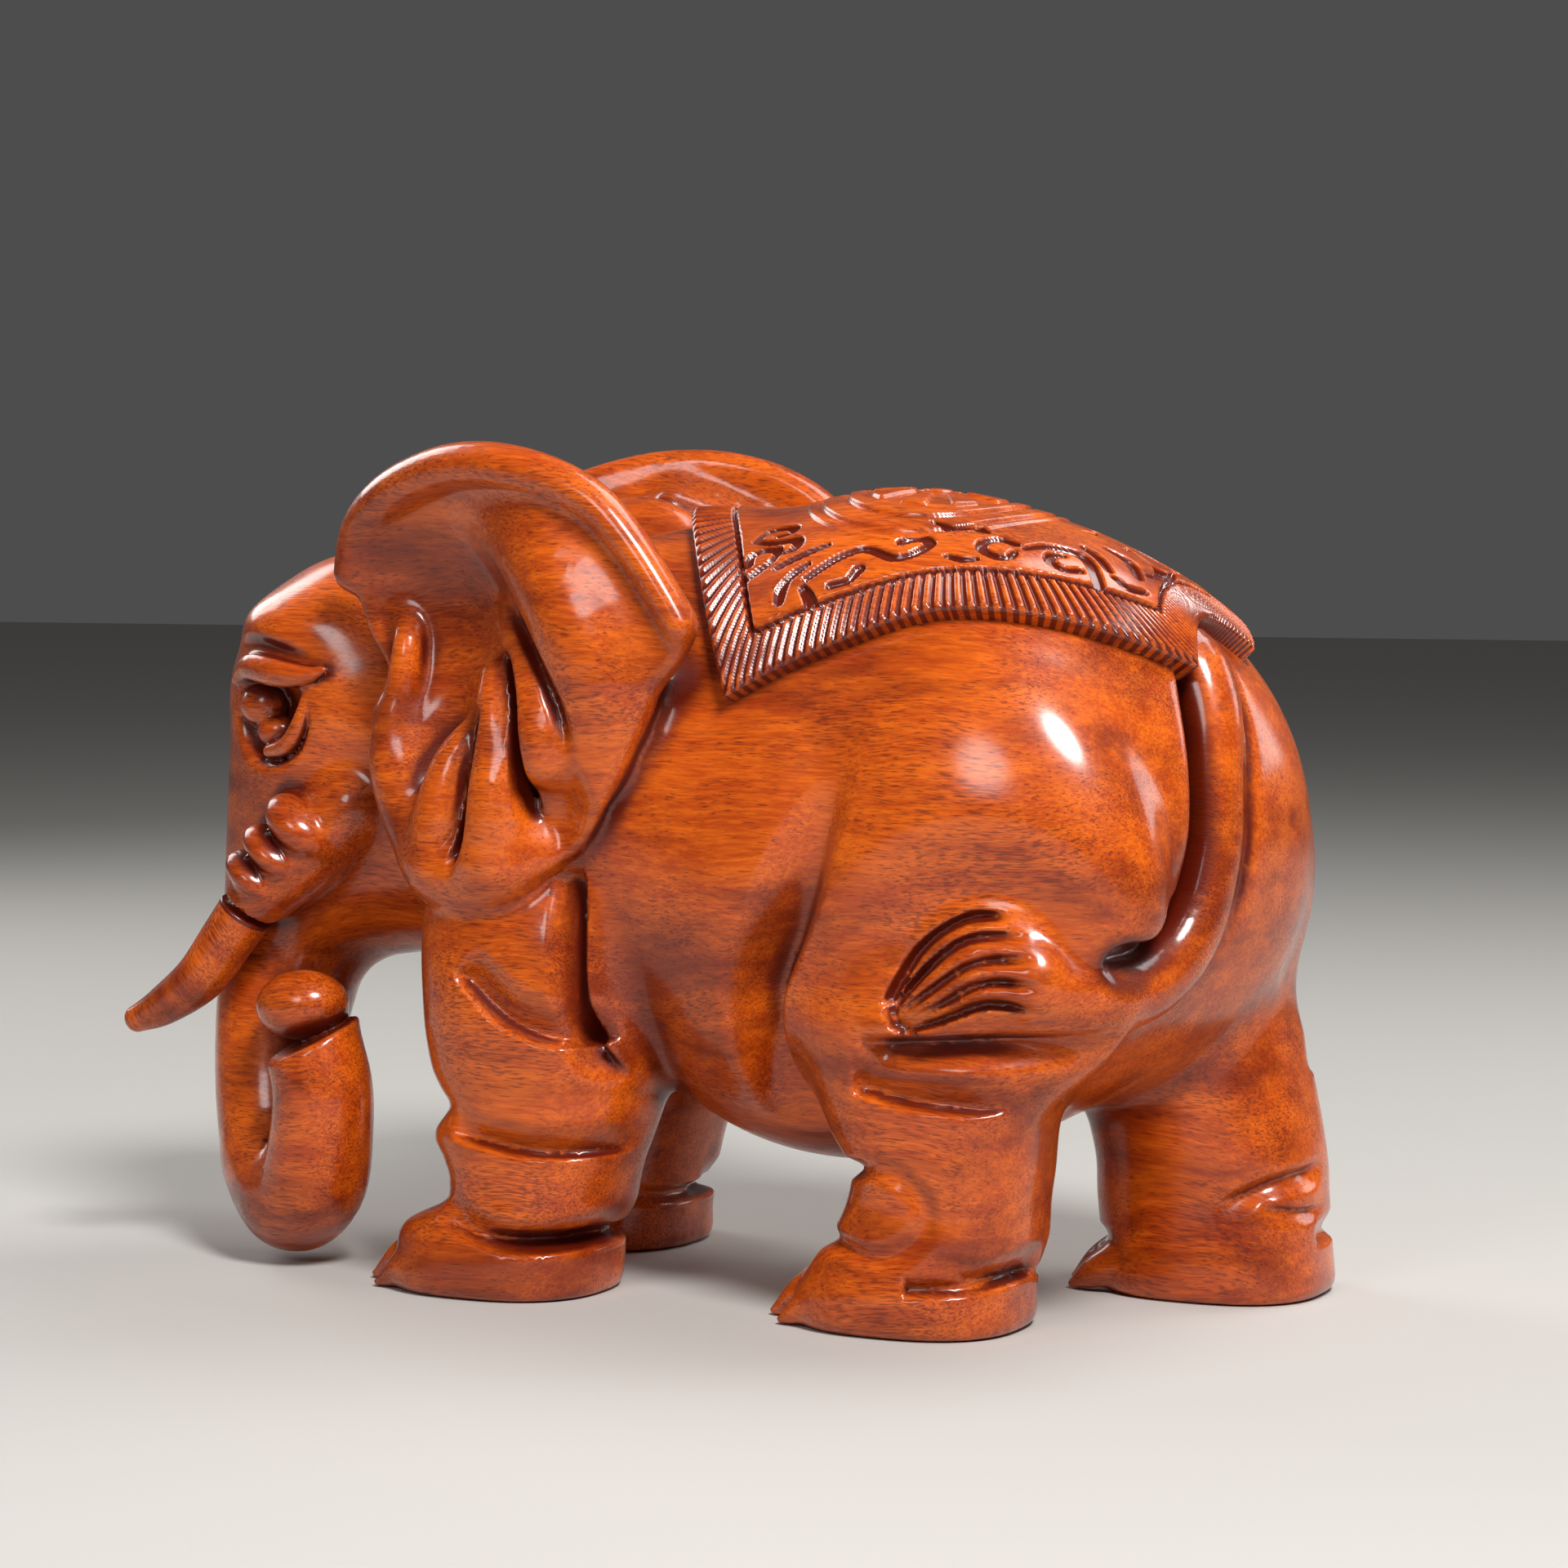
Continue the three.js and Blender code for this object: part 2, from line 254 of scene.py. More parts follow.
# rows: height, x, y, half width, half length
legs = dict(
    leftFront=[(0, 37, -38, 24, 27.5), (3, 37, -38.5, 25.3, 29), (9, 37, -37, 25.2, 28),
               (16, 37, -35.5, 24, 27.2), (22, 36.5, -28.5, 22.8, 22.8), (28, 36.2, -27.3, 22.6, 22.8),
    (33, 36, -27.5, 22.8, 24.5), (39, 36, -27.5, 23.5, 27), (46, 36, -24, 23.5, 26),
    (51, 36, -25, 23.8, 28), (57, 36.5, -25.2, 24.5, 30.2), (70, 37, -26, 25, 31), (90, 36, -27, 24, 31),
    (106, 32, -27, 21, 30), (124, 26, -26, 16, 24)],
    rightFront=[(0, 36, -49.5, 24, 27), (3, 36, -50, 25.3, 28.5), (9, 36, -49, 25.2, 27.5),
                (16, 36, -46.5, 24, 26.5), (23, 36, -42, 22.8, 23), (33, 36, -41, 22.8, 25),
    (39, 36, -40, 23.5, 27), (46, 36, -38, 23.5, 26.5), (57, 36.5, -36, 24.5, 29.5),
    (70, 37, -34, 25, 30.5), (90, 36, -31, 24, 31), (106, 32, -29, 21, 30), (124, 26, -27, 16, 24)],
    leftHind=[(0, 37, 74.5, 24, 27), (3, 37, 74.2, 25.3, 28.5), (9, 37, 75, 25.5, 27.8),
              (15, 37, 77.3, 24.7, 26.5), (22, 37, 81, 24, 25), (30, 36.5, 83, 23.5, 23.3),
    (38, 36.5, 84, 24, 23.3), (48, 36.5, 81.5, 24, 27), (60, 36.5, 80.2, 25, 31), (74, 36, 78, 26, 35),
    (96, 33, 82, 24, 34)],
    rightHind=[(0, 37, 124, 24, 27.5), (3, 37, 124, 25.3, 28.7), (9, 37, 123.6, 25.3, 28.6),
               (15, 37, 123.5, 24.6, 28.3), (24, 37, 122.8, 24, 28.5), (35, 36.5, 122.2, 24, 28.5),
    (52, 36.5, 118, 24.5, 29.4), (66, 36, 113, 25, 31), (80, 35, 108, 25, 32), (98, 32, 104, 22, 30)],
)

# creases of the legs, as fold takes them: near ones with how far along the right legs have them, and
# ones of the right legs alone
creases = dict(
    near=[
        (([(-39, 81.5), (-33, 76), (-25, 70), (-15, 66), (-6, 65.4), (3, 67)],
          4.6, 11, 2.2, 36, (0.12, 0.2)), -12),
        (([(-43, 41.5), (-38, 40), (-28, 38.3), (-17.7, 37.2), (-4, 37.6), (6, 39.5)],
          3.8, 8, 2.1, 34, (0.3, 0.35)), -12),
        (([(-46, 21), (-40, 17.6), (-28.3, 14.4), (-17.8, 13.8), (-5, 15.6), (3, 18.5)],
          4.2, 8, 2.2, 32, (0.25, 0.3)), -12),
        (([(68, 58.6), (72, 58.4), (78, 57), (84, 56.1), (98, 55), (108, 56)],
          4.4, 10, 2.2, 34, (0.15, 0.3)), 40),
        (([(52, 37.5), (63, 38), (69, 39), (75, 41.5)], 3.6, 3.8, 3.4, 24, (0.01, 0.45)), 49),
        (([(70, 39.5), (79, 39), (86, 33.5), (86.5, 26), (79, 19.8), (68, 19)],
          1.5, 4.5, 4.5, 38, (0.2, 0.2)), 49),
        (([(52, 20), (62, 20.6), (72, 18.8), (80, 18)], 2.6, 4, 3, 20, (0.01, 0.6)), 49),
        (([(87, 19), (92, 16.6), (99, 14.8), (105, 15.6), (112, 19.5), (118, 24), (126, 27)],
          3.6, 6, 2.6, 30, (0.5, 0.05)), 49),
    ],
    far=[
        ([(-2, 15), (-16, 15), (-26, 15), (-34, 16)], 4.5, 3.6, 3.2, -99, (0.01, 0.5)),
        ([(162, 33), (153, 32.5), (145, 30.8), (137, 26.8), (131, 23)], 3.2, 6, 2.2, -99, (0.01, 0.3), 30),
        ([(162, 21.5), (153, 21.6), (146, 23), (141, 24.5)], 1.8, 3.5, 2, -99, (0.01, 0.35), 30),
        ([(82, 12), (91, 12.5), (98, 13), (104, 14)], 3, 4, 2.5, -99, (0.01, 0.4)),
    ],
)
nails = dict(
    # foot: side, y of the toes; each nail: x, how far back its tip lies, radius
    feet=dict(leftFront=(1, -65.5), rightFront=(-1, -77.5), leftHind=(1, 47), rightHind=(-1, 96.5)),
    nails=[(53, 3.2, 5.2), (43, -3.2, 6), (31, -4.6, 6), (20, -1.5, 5.2)],
)


# legs, their creases and the toe nails; the right legs' creases are the left's moved along the block
def legSteps():
    steps = []
    for name, rows in legs.items():
        steps.append(joined(leg(rows, 1 if name.startswith("left") else -1), 7))
    for crease, shift in creases["near"]:
        steps += [fold(*crease), fold(*crease, -1, shift)]
    steps += [fold(*crease[:6], -1, 0, *crease[6:]) for crease in creases["far"]]
    for side, toe in nails["feet"].values():
        for x, back, radius in nails["nails"]:
            line = [(side * x, toe + back + 9, 7.5, radius), (side * x, toe + back + 3, 4.4, radius * 0.8),
                    (side * (x + 0.5), toe + back - 3.2, 0.6, radius * 0.3)]
            steps.append(joined(bar(line, 4), 1.4))
    return steps


trunk = dict(
    hanging=[(0, -106, 132, 25), (1, -112, 116, 25), (4, -116.5, 98, 22.5), (8, -119.5, 78, 19.5),
             (13, -120.5, 58, 17.3), (18, -118.5, 40, 16.2), (24, -113, 25, 15.6), (31, -104.5, 17.8, 15)],
    rising=[(24, -113, 25, 15.6), (31, -104.5, 17.8, 15), (36.5, -95.5, 23, 14), (39, -91.5, 36, 13.2),
            (39.5, -91, 47, 12.9), (39, -94, 58, 12.6), (39, -96, 70, 12.6)],
    cutAt=(39, -95.5, 58.6),
    cutFacing=(0.25, -0.37, 0.895),
    ball=((37, -98.3, 67.4), (10.8, 12.4, 9), 0.06),
)


# trunk: down the face and round, then up to a cut mouth that holds a ball
def trunkSteps():
    distance, low, high = bar(trunk["rising"], 5)
    at, facing = vec(*trunk["cutAt"]), vec(*trunk["cutFacing"])
    cut = (lambda p: -softUnion(-distance(p), -((p - at) @ facing), 1.5)), low, high
    return [joined(bar(trunk["hanging"], 5), 9), joined(cut, 2.5), joined(egg(*trunk["ball"]), 0.8)]


ears = dict(
    outline=[(-83.7, 181), (-80.2, 192), (-71.3, 200), (-59.6, 205.5), (-44.9, 209.3), (-30.6, 210),
             (-17.2, 208), (-5.8, 204.2), (4.6, 198), (13.4, 188.5), (21.8, 177), (27.7, 167), (23.3, 157),
    (16.4, 149.5), (10.5, 138), (4, 124.5), (-4.8, 113), (-14.2, 107.5), (-27, 102.5), (-42.9, 98.2),
    (-52.6, 100), (-56.4, 107), (-60.7, 115.5), (-66.4, 122), (-70.4, 132), (-69, 140), (-67, 147),
    (-68.5, 155), (-73.8, 163), (-76.4, 170), (-80.5, 177.5)],
    middle=(-36, 154),
    thickness=6.5,
    # bowls pressed into the outer face: depth, middle and radii in (y, z)
    bowls=[(16, (-43, 168), (37, 41)), (13, (-45, 140), (14, 38)), (9, (-12, 118), (15, 22))],
    # narrow creases that part the hanging folds
    creases=[
        ([(-28, 162), (-22.4, 149.4), (-20.2, 135.6), (-19, 125.7), (-17.3, 117.8)], 5, 2.6, 2.8, 40,
         (0.25, 0.35)),
        ([(-33.4, 147), (-34.4, 140.3), (-35.3, 129.3), (-36.3, 118.2), (-38.5, 110.1), (-41.3, 105)], 5,
         2.8, 2.6, 40, (0.2, 0.4)),
        ([(-29, 172), (-23, 166.3), (-16, 158.4), (-10, 149.6), (-6.4, 140.8), (-5.4, 132)], 2.4, 4, 3, 40,
         (0.4, 0.35)),
    ],
)


# how far the ear stands off the middle of the block: it leaves the head and flares backwards
def earStandOff(y):
    return 61.5 - 22.5 * (np.maximum(0, -12 - y) / 74) ** 1.6 + 0.03 * np.maximum(0, y + 12)


# ear: a leaf between two faces inside its outline, dished by a bowl of depth x (1 - e2)^1.3
def earLeaf():
    edge = curveThrough(ears["outline"], 124, closed=True).astype(np.float32)
    mid = vec(*ears["middle"])
    polar = edge - mid
    angle = np.arctan2(polar[:, 1], polar[:, 0])
    order = np.argsort(angle)
    angle, span = angle[order], np.hypot(polar[:, 0], polar[:, 1])[order]
    loop = np.vstack([edge, edge[:1]])

    def distance(p):
        flat = p[:, 1:]
        q = flat - mid
        share = np.hypot(q[:, 0], q[:, 1]) / np.interp(np.arctan2(q[:, 1], q[:, 0]), angle, span,
                                                       period=2 * np.pi)
        off, _, _ = alongChain(flat, loop)
        off = np.where(share < 1, -off, off)
        dish = [depth * np.maximum(0, 1 - (((flat - at) / radii) ** 2).sum(1)) ** 1.3
                for depth, at, radii in ears["bowls"]]
        face = earStandOff(p[:, 1]) + softUnion(softUnion(-dish[0], -dish[1], 5), -dish[2], 5)
        half = ears["thickness"] / 2
        across = np.abs(p[:, 0] - face) - (half - 3)
        along = off + 3
        outer = np.hypot(np.maximum(across, 0), np.maximum(along, 0))
        return (outer + np.minimum(np.maximum(across, along), 0) - 3).astype(np.float32)

    low = vec(28, edge[:, 0].min() - 3, edge[:, 1].min() - 3)
    high = vec(74, edge[:, 0].max() + 3, edge[:, 1].max() + 3)
    return distance, low, high


# the rolled rim runs only along the top and the front of the outline
def earRim():
    edge = curveThrough(ears["outline"], 31, closed=True)
    stand = earStandOff(edge[:, 0])
    radius = np.interp(np.arange(31), [0, 2, 6, 9, 12], [5, 5.5, 4.6, 3.4, 2.8])
    mid = vec(*ears["middle"])
    pulled = edge + (mid - edge) / np.linalg.norm(mid - edge, axis=1, keepdims=True) * radius[:, None]
    return bar(np.column_stack([stand + 1.3, pulled, radius])[:12], 3)


# ear: root, leaf, rim, hanging folds as bars let into the outer face, and the creases between them
def earSteps():
    # ribs: how far each place lies inside the ear's outer face, then y, z and radius
    ribs = [
        ([(-13, -34, 194, 6), (-9, -20, 184, 10), (-7, -6, 169, 13), (-6.5, 1, 153, 12),
          (-7.5, -1, 138, 8)], 9),
        ([(-7.5, -31.5, 153, 4.6), (-4.6, -30, 145, 5.8), (-3, -28.5, 135, 7), (-2, -27.5, 124, 8.8),
          (-4.5, -29, 110, 11)], 4),
        ([(-11, -29.5, 169, 3), (-7.5, -25, 162, 4.2), (-4.8, -20.5, 154, 5.2), (-3, -17, 147.5, 6),
          (-2, -14.5, 140, 6.8), (-2.6, -13.5, 134, 7)], 4),
        ([(-9, -39, 142, 3), (-4, -43.5, 132, 5.6), (-2, -46.5, 119, 7.6), (-3, -48.5, 107, 8.4)], 4),
        ([(-4, -49, 106, 8), (-4.5, -39, 103.5, 9), (-5, -28, 106.5, 9), (-6.5, -20, 111, 6)], 5),
        ([(-9, -64, 168, 3), (-4.5, -61, 161, 3.8), (-3.4, -61.5, 152, 4.4), (-3, -63.5, 144, 5)], 4),
        ([(-2.5, -64, 142, 5.4), (-2, -63.5, 132, 7), (-3, -60.5, 121, 7.4), (-4, -54.5, 110, 7.6)], 4),
    ]
    steps = [joined(egg((24, -33, 151), (18, 36, 47)), 10), joined(earLeaf(), 3), joined(earRim(), 4)]
    for rib, k in ribs:
        rib = np.array(rib, float)
        rib[:, 0] += earStandOff(rib[:, 1])
        steps.append(joined(bar(rib), k))
    steps = [bothSides(step) for step in steps]
    return steps + [fold(*crease, side) for crease in ears["creases"] for side in (1, -1)]


tail = dict(
    rope=[(0, 122, 164, 5), (2, 130.5, 157.5, 8), (5.5, 136.5, 145, 7.8), (8.5, 138.5, 130, 7.2),
          (10.5, 139, 114, 7.2), (15, 136.5, 98, 7.8), (23, 132.5, 87.5, 8.4), (34, 128, 82, 8.6),
    (46, 122, 82, 9), (54.5, 113, 85, 9.4)],
    # trough: the same way, a little to the left and wider
    trough=[(3.5, 130.5, 157, 8), (8.5, 135.5, 145, 9.8), (12, 137, 130, 10), (14, 137.5, 114, 10.2),
            (18, 137, 101, 9.4), (25, 135.5, 94, 8), (34, 134, 90, 6.5), (46, 131, 89, 5.5)],
    # shadow under the tuft
    under=([(70, 69.4), (87.6, 70.4), (104, 71.6), (120, 72.2), (131, 73.4), (143, 76.5)], 5.5, 2.4, 9, 42,
           (0.1, 0.4)),
    hairs=[[(108, 100), (97, 99.5), (85, 91.5), (77.5, 78)], [(113, 96), (99, 95), (87, 86.5), (78, 75.5)],
           [(116, 90.5), (102, 90), (89, 82), (78, 74)], [(118, 84.5), (104, 85.5), (91, 79), (79, 73.4)],
    [(117, 79), (104, 80.6), (92, 76.4), (81, 72.6)]],
)


# tail: a rope in a trough round the haunch, ending in a tuft undercut at its foot
def tailSteps():
    steps = [
        cutAway(bar(tail["trough"], 4), 7),
        cutAway(egg((70.5, 108, 95), (14, 37, 24)), 10),
        joined(bar(tail["rope"], 4), 2),
        joined(egg((54, 101, 88), (10, 17, 15), 0.1), 5),
        joined(bar([(57, 100, 86, 9), (58.5, 88, 79, 7), (60, 80, 75.5, 3.5), (60.5, 75, 73.5, 1)], 4), 4),
        fold(*tail["under"]),
    ]
    return steps + [fold(hair, 2.4, 2.1, 2.1, inner=47, ends=(0.25, 0.08)) for hair in tail["hairs"]]


# sleeve and its three rings, forehead, eye socket, balls, lids and brow crease
def faceSteps():
    lean = -0.635
    steps = [
        joined(bar([(28, -88, 118, 10), (32, -101, 105.5, 10), (34, -110, 96.5, 8.4)], 4), 5),
        joined(egg((34.6, -98.6, 113.2), (10.6, 11.6, 6.6), lean), 1.2),
        joined(egg((35.2, -106, 106), (10.2, 10.8, 5), lean), 0.8),
        joined(egg((35.6, -112, 99.8), (9.6, 9.8, 4.8), lean), 0.8),
        joined(egg((18, -106, 164), (15, 18, 8.5)), 8),
        cutAway(egg((36, -112.5, 141), (13, 15, 13)), 2.5),
        joined(egg((25.6, -116.8, 143.8), (5.4, 6.4, 5.6)), 1),
        joined(egg((26.6, -112, 137), (4.6, 5.4, 4.6)), 1.2),
        joined(bar([(34, -98.5, 147, 1.2), (34.5, -100, 140, 2.2), (33.2, -104.5, 134, 2.5),
                    (30, -112, 132, 2)], 3), 0.8),
        joined(bar([(27.2, -124, 150.5, 1.6), (28.8, -120, 153.2, 3), (30.8, -115, 154, 4.1),
                    (33.8, -107, 153, 4.2), (35.4, -98, 152.2, 2.9), (36.6, -91.5, 153.6, 0.9)], 3), 0.8),
        cutAway(bar([(24.5, -130, 154.5, 0.5), (27.5, -125, 158.4, 1.2), (31.8, -115, 159.6, 1.4),
                     (34.8, -104, 157.4, 1.3), (36, -95, 155.6, 0.5)], 3), 2.5),
    ]
    return [bothSides(step) for step in steps]


tusk = dict(
    # the way it points out of its sheath, and the middle of the sheath's mouth
    out=(0.038285, -0.593417, -0.803984),
    mouth=(35, -116.5, 91),
    path=[(35, -116.5, 91, 7.3), (35.4, -122.7, 82.6, 7.1), (36, -130.5, 72.8, 6.6),
          (36.5, -141.5, 65, 5.2), (37, -149.5, 61.2, 3.6)],
    tipLength=3.4,
    seatRadius=7.15,
    gap=0.3,
    tenonRadius=4,
    tenonLength=12,
    socketRadius=4.3,
    socketDepth=13,
)


# round bar with flat ends: the distance to a capped cylinder
def plug(mouth, out, start, end, radius):
    mouth, out = vec(*mouth), vec(*out)

    def distance(p):
        w = p - mouth
        along = w @ out
        off = np.sqrt(np.maximum((w**2).sum(1) - along**2, 0)) - radius
        past = np.maximum(start - along, along - end)
        return np.minimum(np.maximum(off, past), 0) + np.hypot(np.maximum(off, 0), np.maximum(past, 0))

    ends = np.array([mouth + out * start, mouth + out * end])
    return distance, ends.min(0) - radius, ends.max(0) + radius


# sleeve's mouth, the room that the tusk fills and the socket for its tenon
def sheathSteps():
    mouth, out = tusk["mouth"], tusk["out"]
    room = np.array(tusk["path"], float)
    room[:, 3] += 0.7
    steps = [
        joined(plug(mouth, out, -8, -1.6, 7.2), 1.5),
        cutAway(plug(mouth, out, 0, 40, 7.9), 0.3),
        cutAway(bar(room[1:], 4), 0.3),
        cutAway(plug(mouth, out, -tusk["socketDepth"], 1, tusk["socketRadius"]), 0.2),
    ]
    return [bothSides(step) for step in steps]


# hollow in front of the thigh, and the crease between foreleg and belly
flanks = [
    ([(68, 144), (63, 128), (57, 110), (50.5, 95), (45, 85), (42, 76), (42, 62), (46, 52), (55, 44)], 13, 7,
     12.5, 30, (0.5, 0.1)),
    ([(-9, 108), (-8, 95), (-7, 80), (-5, 68), (-1, 60), (4, 53)], 6.5, 3, 7, 34, (0.12, 0.45)),
]


# all steps in carving order, and those alone that the back under the cloth is made of
def carvedBlock():
    steps = [joined(egg(*mass), 14) for mass in body["torso"]]
    steps += [joined(egg(*mass), 12) for mass in body["head"]]
    steps += [joined(egg(*mass), 7) for mass in body["thighs"]]
    steps += legSteps()
    steps += [fold(*crease, side) for crease in flanks for side in (1, -1)]
    bare = list(steps)
    steps += trunkSteps() + earSteps() + tailSteps() + faceSteps() + sheathSteps()
    # soles cut flat at the floor
    steps.append((vec(-90, -170, -8), vec(90, 170, 6), lambda p, f: -softUnion(-f, p[:, 2], 1.6)))
    return steps, bare


# surface where the field is nought, on a grid of cells: a cell that it crosses gets a point at the mean
# of its edge crossings, and each crossed grid edge gets a four-sided face of the cells round it
def surfaceOf(steps, xs, ys, zs):
    shape = (len(xs), len(ys), len(zs))
    # a coarse pass finds the blocks of cells that the surface can run through
    step = 4
    cx, cy, cz = (axis[np.unique(np.append(np.arange(0, len(axis), step), len(axis) - 1))]
                  for axis in (xs, ys, zs))
    corner = np.stack(np.meshgrid(cx, cy, cz, indexing="ij"), -1).reshape(-1, 3).astype(np.float32)
    rough = fieldOf(corner, steps).reshape(len(cx), len(cy), len(cz))
    low = rough[:-1, :-1, :-1].copy()
    high = low.copy()
    for i, j, k in np.ndindex(2, 2, 2):
        part = rough[i:len(cx) - 1 + i, j:len(cy) - 1 + j, k:len(cz) - 1 + k]
        low, high = np.minimum(low, part), np.maximum(high, part)
    margin = max(np.diff(cx).max(), np.diff(cy).max(), np.diff(cz).max()) * 1.1 + 1
    busy = (low < margin) & (high > -margin)
    blocks = (rough[:-1, :-1, :-1], busy)
    value, wanted = (a.repeat(step, 0).repeat(step, 1).repeat(step, 2) for a in blocks)
    f = np.full(shape, farOff, np.float32)
    want = np.zeros(shape, bool)
    shared = tuple(slice(min(a, b)) for a, b in zip(value.shape, shape))
    f[shared], want[shared] = value[shared], wanted[shared]
    grown = want.copy()
    grown[1:] |= want[:-1]
    grown[:, 1:] |= grown[:, :-1]
    grown[:, :, 1:] |= grown[:, :, :-1]
    i, j, k = np.nonzero(grown)
    f[i, j, k] = fieldOf(np.column_stack([xs[i], ys[j], zs[k]]).astype(np.float32), steps)
    inside = f < 0
    count = np.zeros(tuple(n - 1 for n in shape), np.int8)
    for a, b, c in np.ndindex(2, 2, 2):
        count += inside[a:shape[0] - 1 + a, b:shape[1] - 1 + b, c:shape[2] - 1 + c]
    cells = np.nonzero((count > 0) & (count < 8))
    number = np.full(count.shape, -1, np.int64)
    number[cells] = np.arange(len(cells[0]))
    total = np.zeros((len(cells[0]), 3))
    hits = np.zeros(len(cells[0]))
    for axis in range(3):
        for a, b in np.ndindex(2, 2):
            ends = []
            for end in (0, 1):
                shift = [a, b]
                shift.insert(axis, end)
                i, j, k = (c + n for c, n in zip(cells, shift))
                ends.append((f[i, j, k], np.column_stack([xs[i], ys[j], zs[k]])))
            (f0, p0), (f1, p1) = ends
            cross = (f0 < 0) != (f1 < 0)
            t = np.where(cross, f0 / np.where(cross, f0 - f1, 1), 0)[:, None]
            total += np.where(cross[:, None], p0 + (p1 - p0) * t, 0)
            hits += cross
    points = (total / hits[:, None]).astype(np.float32)
    faces = []
    for axis in range(3):
        cut = inside != np.roll(inside, -1, axis)
        for a in range(3):
            across = cut.swapaxes(0, a)
            across[-1] = False
            if a != axis:
                across[0] = False
        i, j, k = np.nonzero(cut)
        u, v = [a for a in range(3) if a != axis]
        ring = []
        for du, dv in ((1, 1), (0, 1), (0, 0), (1, 0)):
            cell = np.column_stack([i, j, k])
            cell[:, u] -= du
            cell[:, v] -= dv
            ring.append(number[cell[:, 0], cell[:, 1], cell[:, 2]])
        quad = np.column_stack(ring)
        flip = inside[i, j, k] == (axis == 1)
        quad[flip] = quad[flip][:, ::-1]
        faces.append(quad)
    return points, np.concatenate(faces)


# outward slope of the field by differences either side
def slopeOf(points, steps, h=0.2):
    shifts = np.eye(3, dtype=np.float32) * h
    return np.stack([fieldOf(points + s, steps) - fieldOf(points - s, steps) for s in shifts], 1) / (2 * h)


# moves points onto the surface: p less f g / |g|2, twice
def settle(points, steps, rounds=2):
    for _ in range(rounds):
        g = slopeOf(points, steps, 0.3)
        f = fieldOf(points, steps)
        points = points - np.clip(f / np.maximum((g**2).sum(1), 0.2), -0.8, 0.8)[:, None] * g
    return points


# grid lines from a to b or just past it
def gridLines(a, b, spacing):
    lines = [a]
    while lines[-1] < b:
        lines.append(lines[-1] + spacing)
    return np.array(lines, np.float32)


# keeps the one outer skin and drops walls of any hollow left inside: spreads from the highest point
# over shared corners until nothing more is reached
def outerSkin(points, faces):
    reached = np.zeros(len(points), bool)
    reached[points[:, 2].argmax()] = True
    count = 0
    while reached.sum() != count:
        count = reached.sum()
        for _ in range(8):
            reached[faces[reached[faces].any(1)]] = True
    number = np.cumsum(reached) - 1
    return points[reached], number[faces[reached[faces].all(1)]]


# scale: millimetres of the working to metres of the frame
def meshOf(name, points, faces, normals=None, marks=None, scale=0.001):
    points = np.asarray(points, np.float64) * scale
    faces = np.asarray(faces, np.int32)
    mesh = bpy.data.meshes.new(name)
    corners = faces.shape[1]
    mesh.vertices.add(len(points))
    mesh.vertices.foreach_set("co", points.astype(np.float32).ravel())
    mesh.loops.add(faces.size)
    mesh.loops.foreach_set("vertex_index", faces.ravel())
    mesh.polygons.add(len(faces))
    mesh.polygons.foreach_set("loop_start", np.arange(0, faces.size, corners, dtype=np.int32))
    mesh.update(calc_edges=True)
    mesh.validate()
    mesh.polygons.foreach_set("use_smooth", np.ones(len(mesh.polygons), bool))
    for mark, values in (marks or {}).items():
        attribute = mesh.attributes.new(mark, "FLOAT", "POINT")
        attribute.data.foreach_set("value", np.asarray(values, np.float32))
    if normals is not None:
        mesh.normals_split_custom_set_from_vertices(normals)
    return mesh


# an object with one material, at the origin
def pieceOf(name, mesh, material):
    piece = bpy.data.objects.new(name, mesh)
    bpy.context.collection.objects.link(piece)
    piece.data.materials.append(material)
    return piece


# mesh brought down to a number of triangles by Blender's Decimate, given back as arrays
def thinned(points, faces, most):
    if len(faces) * 2 <= most:
        return points, np.concatenate([faces[:, [0, 1, 2]], faces[:, [0, 2, 3]]])
    holder = bpy.data.objects.new("thinning", meshOf("thinning", points, faces, scale=1))
    bpy.context.collection.objects.link(holder)
    modifier = holder.modifiers.new("thin", "DECIMATE")
    modifier.ratio = most / (len(faces) * 2)
    graph = bpy.context.evaluated_depsgraph_get()
    result = holder.evaluated_get(graph).to_mesh()
    result.calc_loop_triangles()
    p = np.empty(len(result.vertices) * 3, np.float32)
    result.vertices.foreach_get("co", p)
    t = np.empty(len(result.loop_triangles) * 3, np.int32)
    result.loop_triangles.foreach_get("vertices", t)
    bpy.data.objects.remove(holder)
    return p.reshape(-1, 3), t.reshape(-1, 3)


# painted shade: how enclosed a place is, 1 - f(p + n d) / d, averaged over a near and a far distance; the
# colour is darkened by it where shade falls in hollows and creases
def paintedShadeOf(points, normals, steps):
    near, far = (1 - np.clip(fieldOf(points + normals * d, steps) / d, 0, 1) for d in (2.5, 8))
    return (near + far) / 2


# the block's mesh: surface, outer skin, thinned, settled back onto the field, with the field's own normals
def makeBlock(material):
    steps, bare = carvedBlock()
    spacing = body["cell"]
    lines = [gridLines(a, b, spacing) for a, b in body["room"]]
    points, faces = outerSkin(*surfaceOf(steps, *lines))
    points, faces = thinned(points, faces, body["triangles"])
    points = settle(points, steps)
    slope = slopeOf(points, steps, 0.5)
    normals = slope / np.maximum(np.linalg.norm(slope, axis=1, keepdims=True), 1e-6)
    # painted shade: how dark each place is painted for the shade that falls in hollows and creases
    painted_shade = paintedShadeOf(points, normals, steps)
    mesh = meshOf("carvedBlock", points, faces, normals, dict(painted_shade=painted_shade))
    print("carved block:", len(faces), "triangles")
    return pieceOf("carved_block", mesh, material), bare


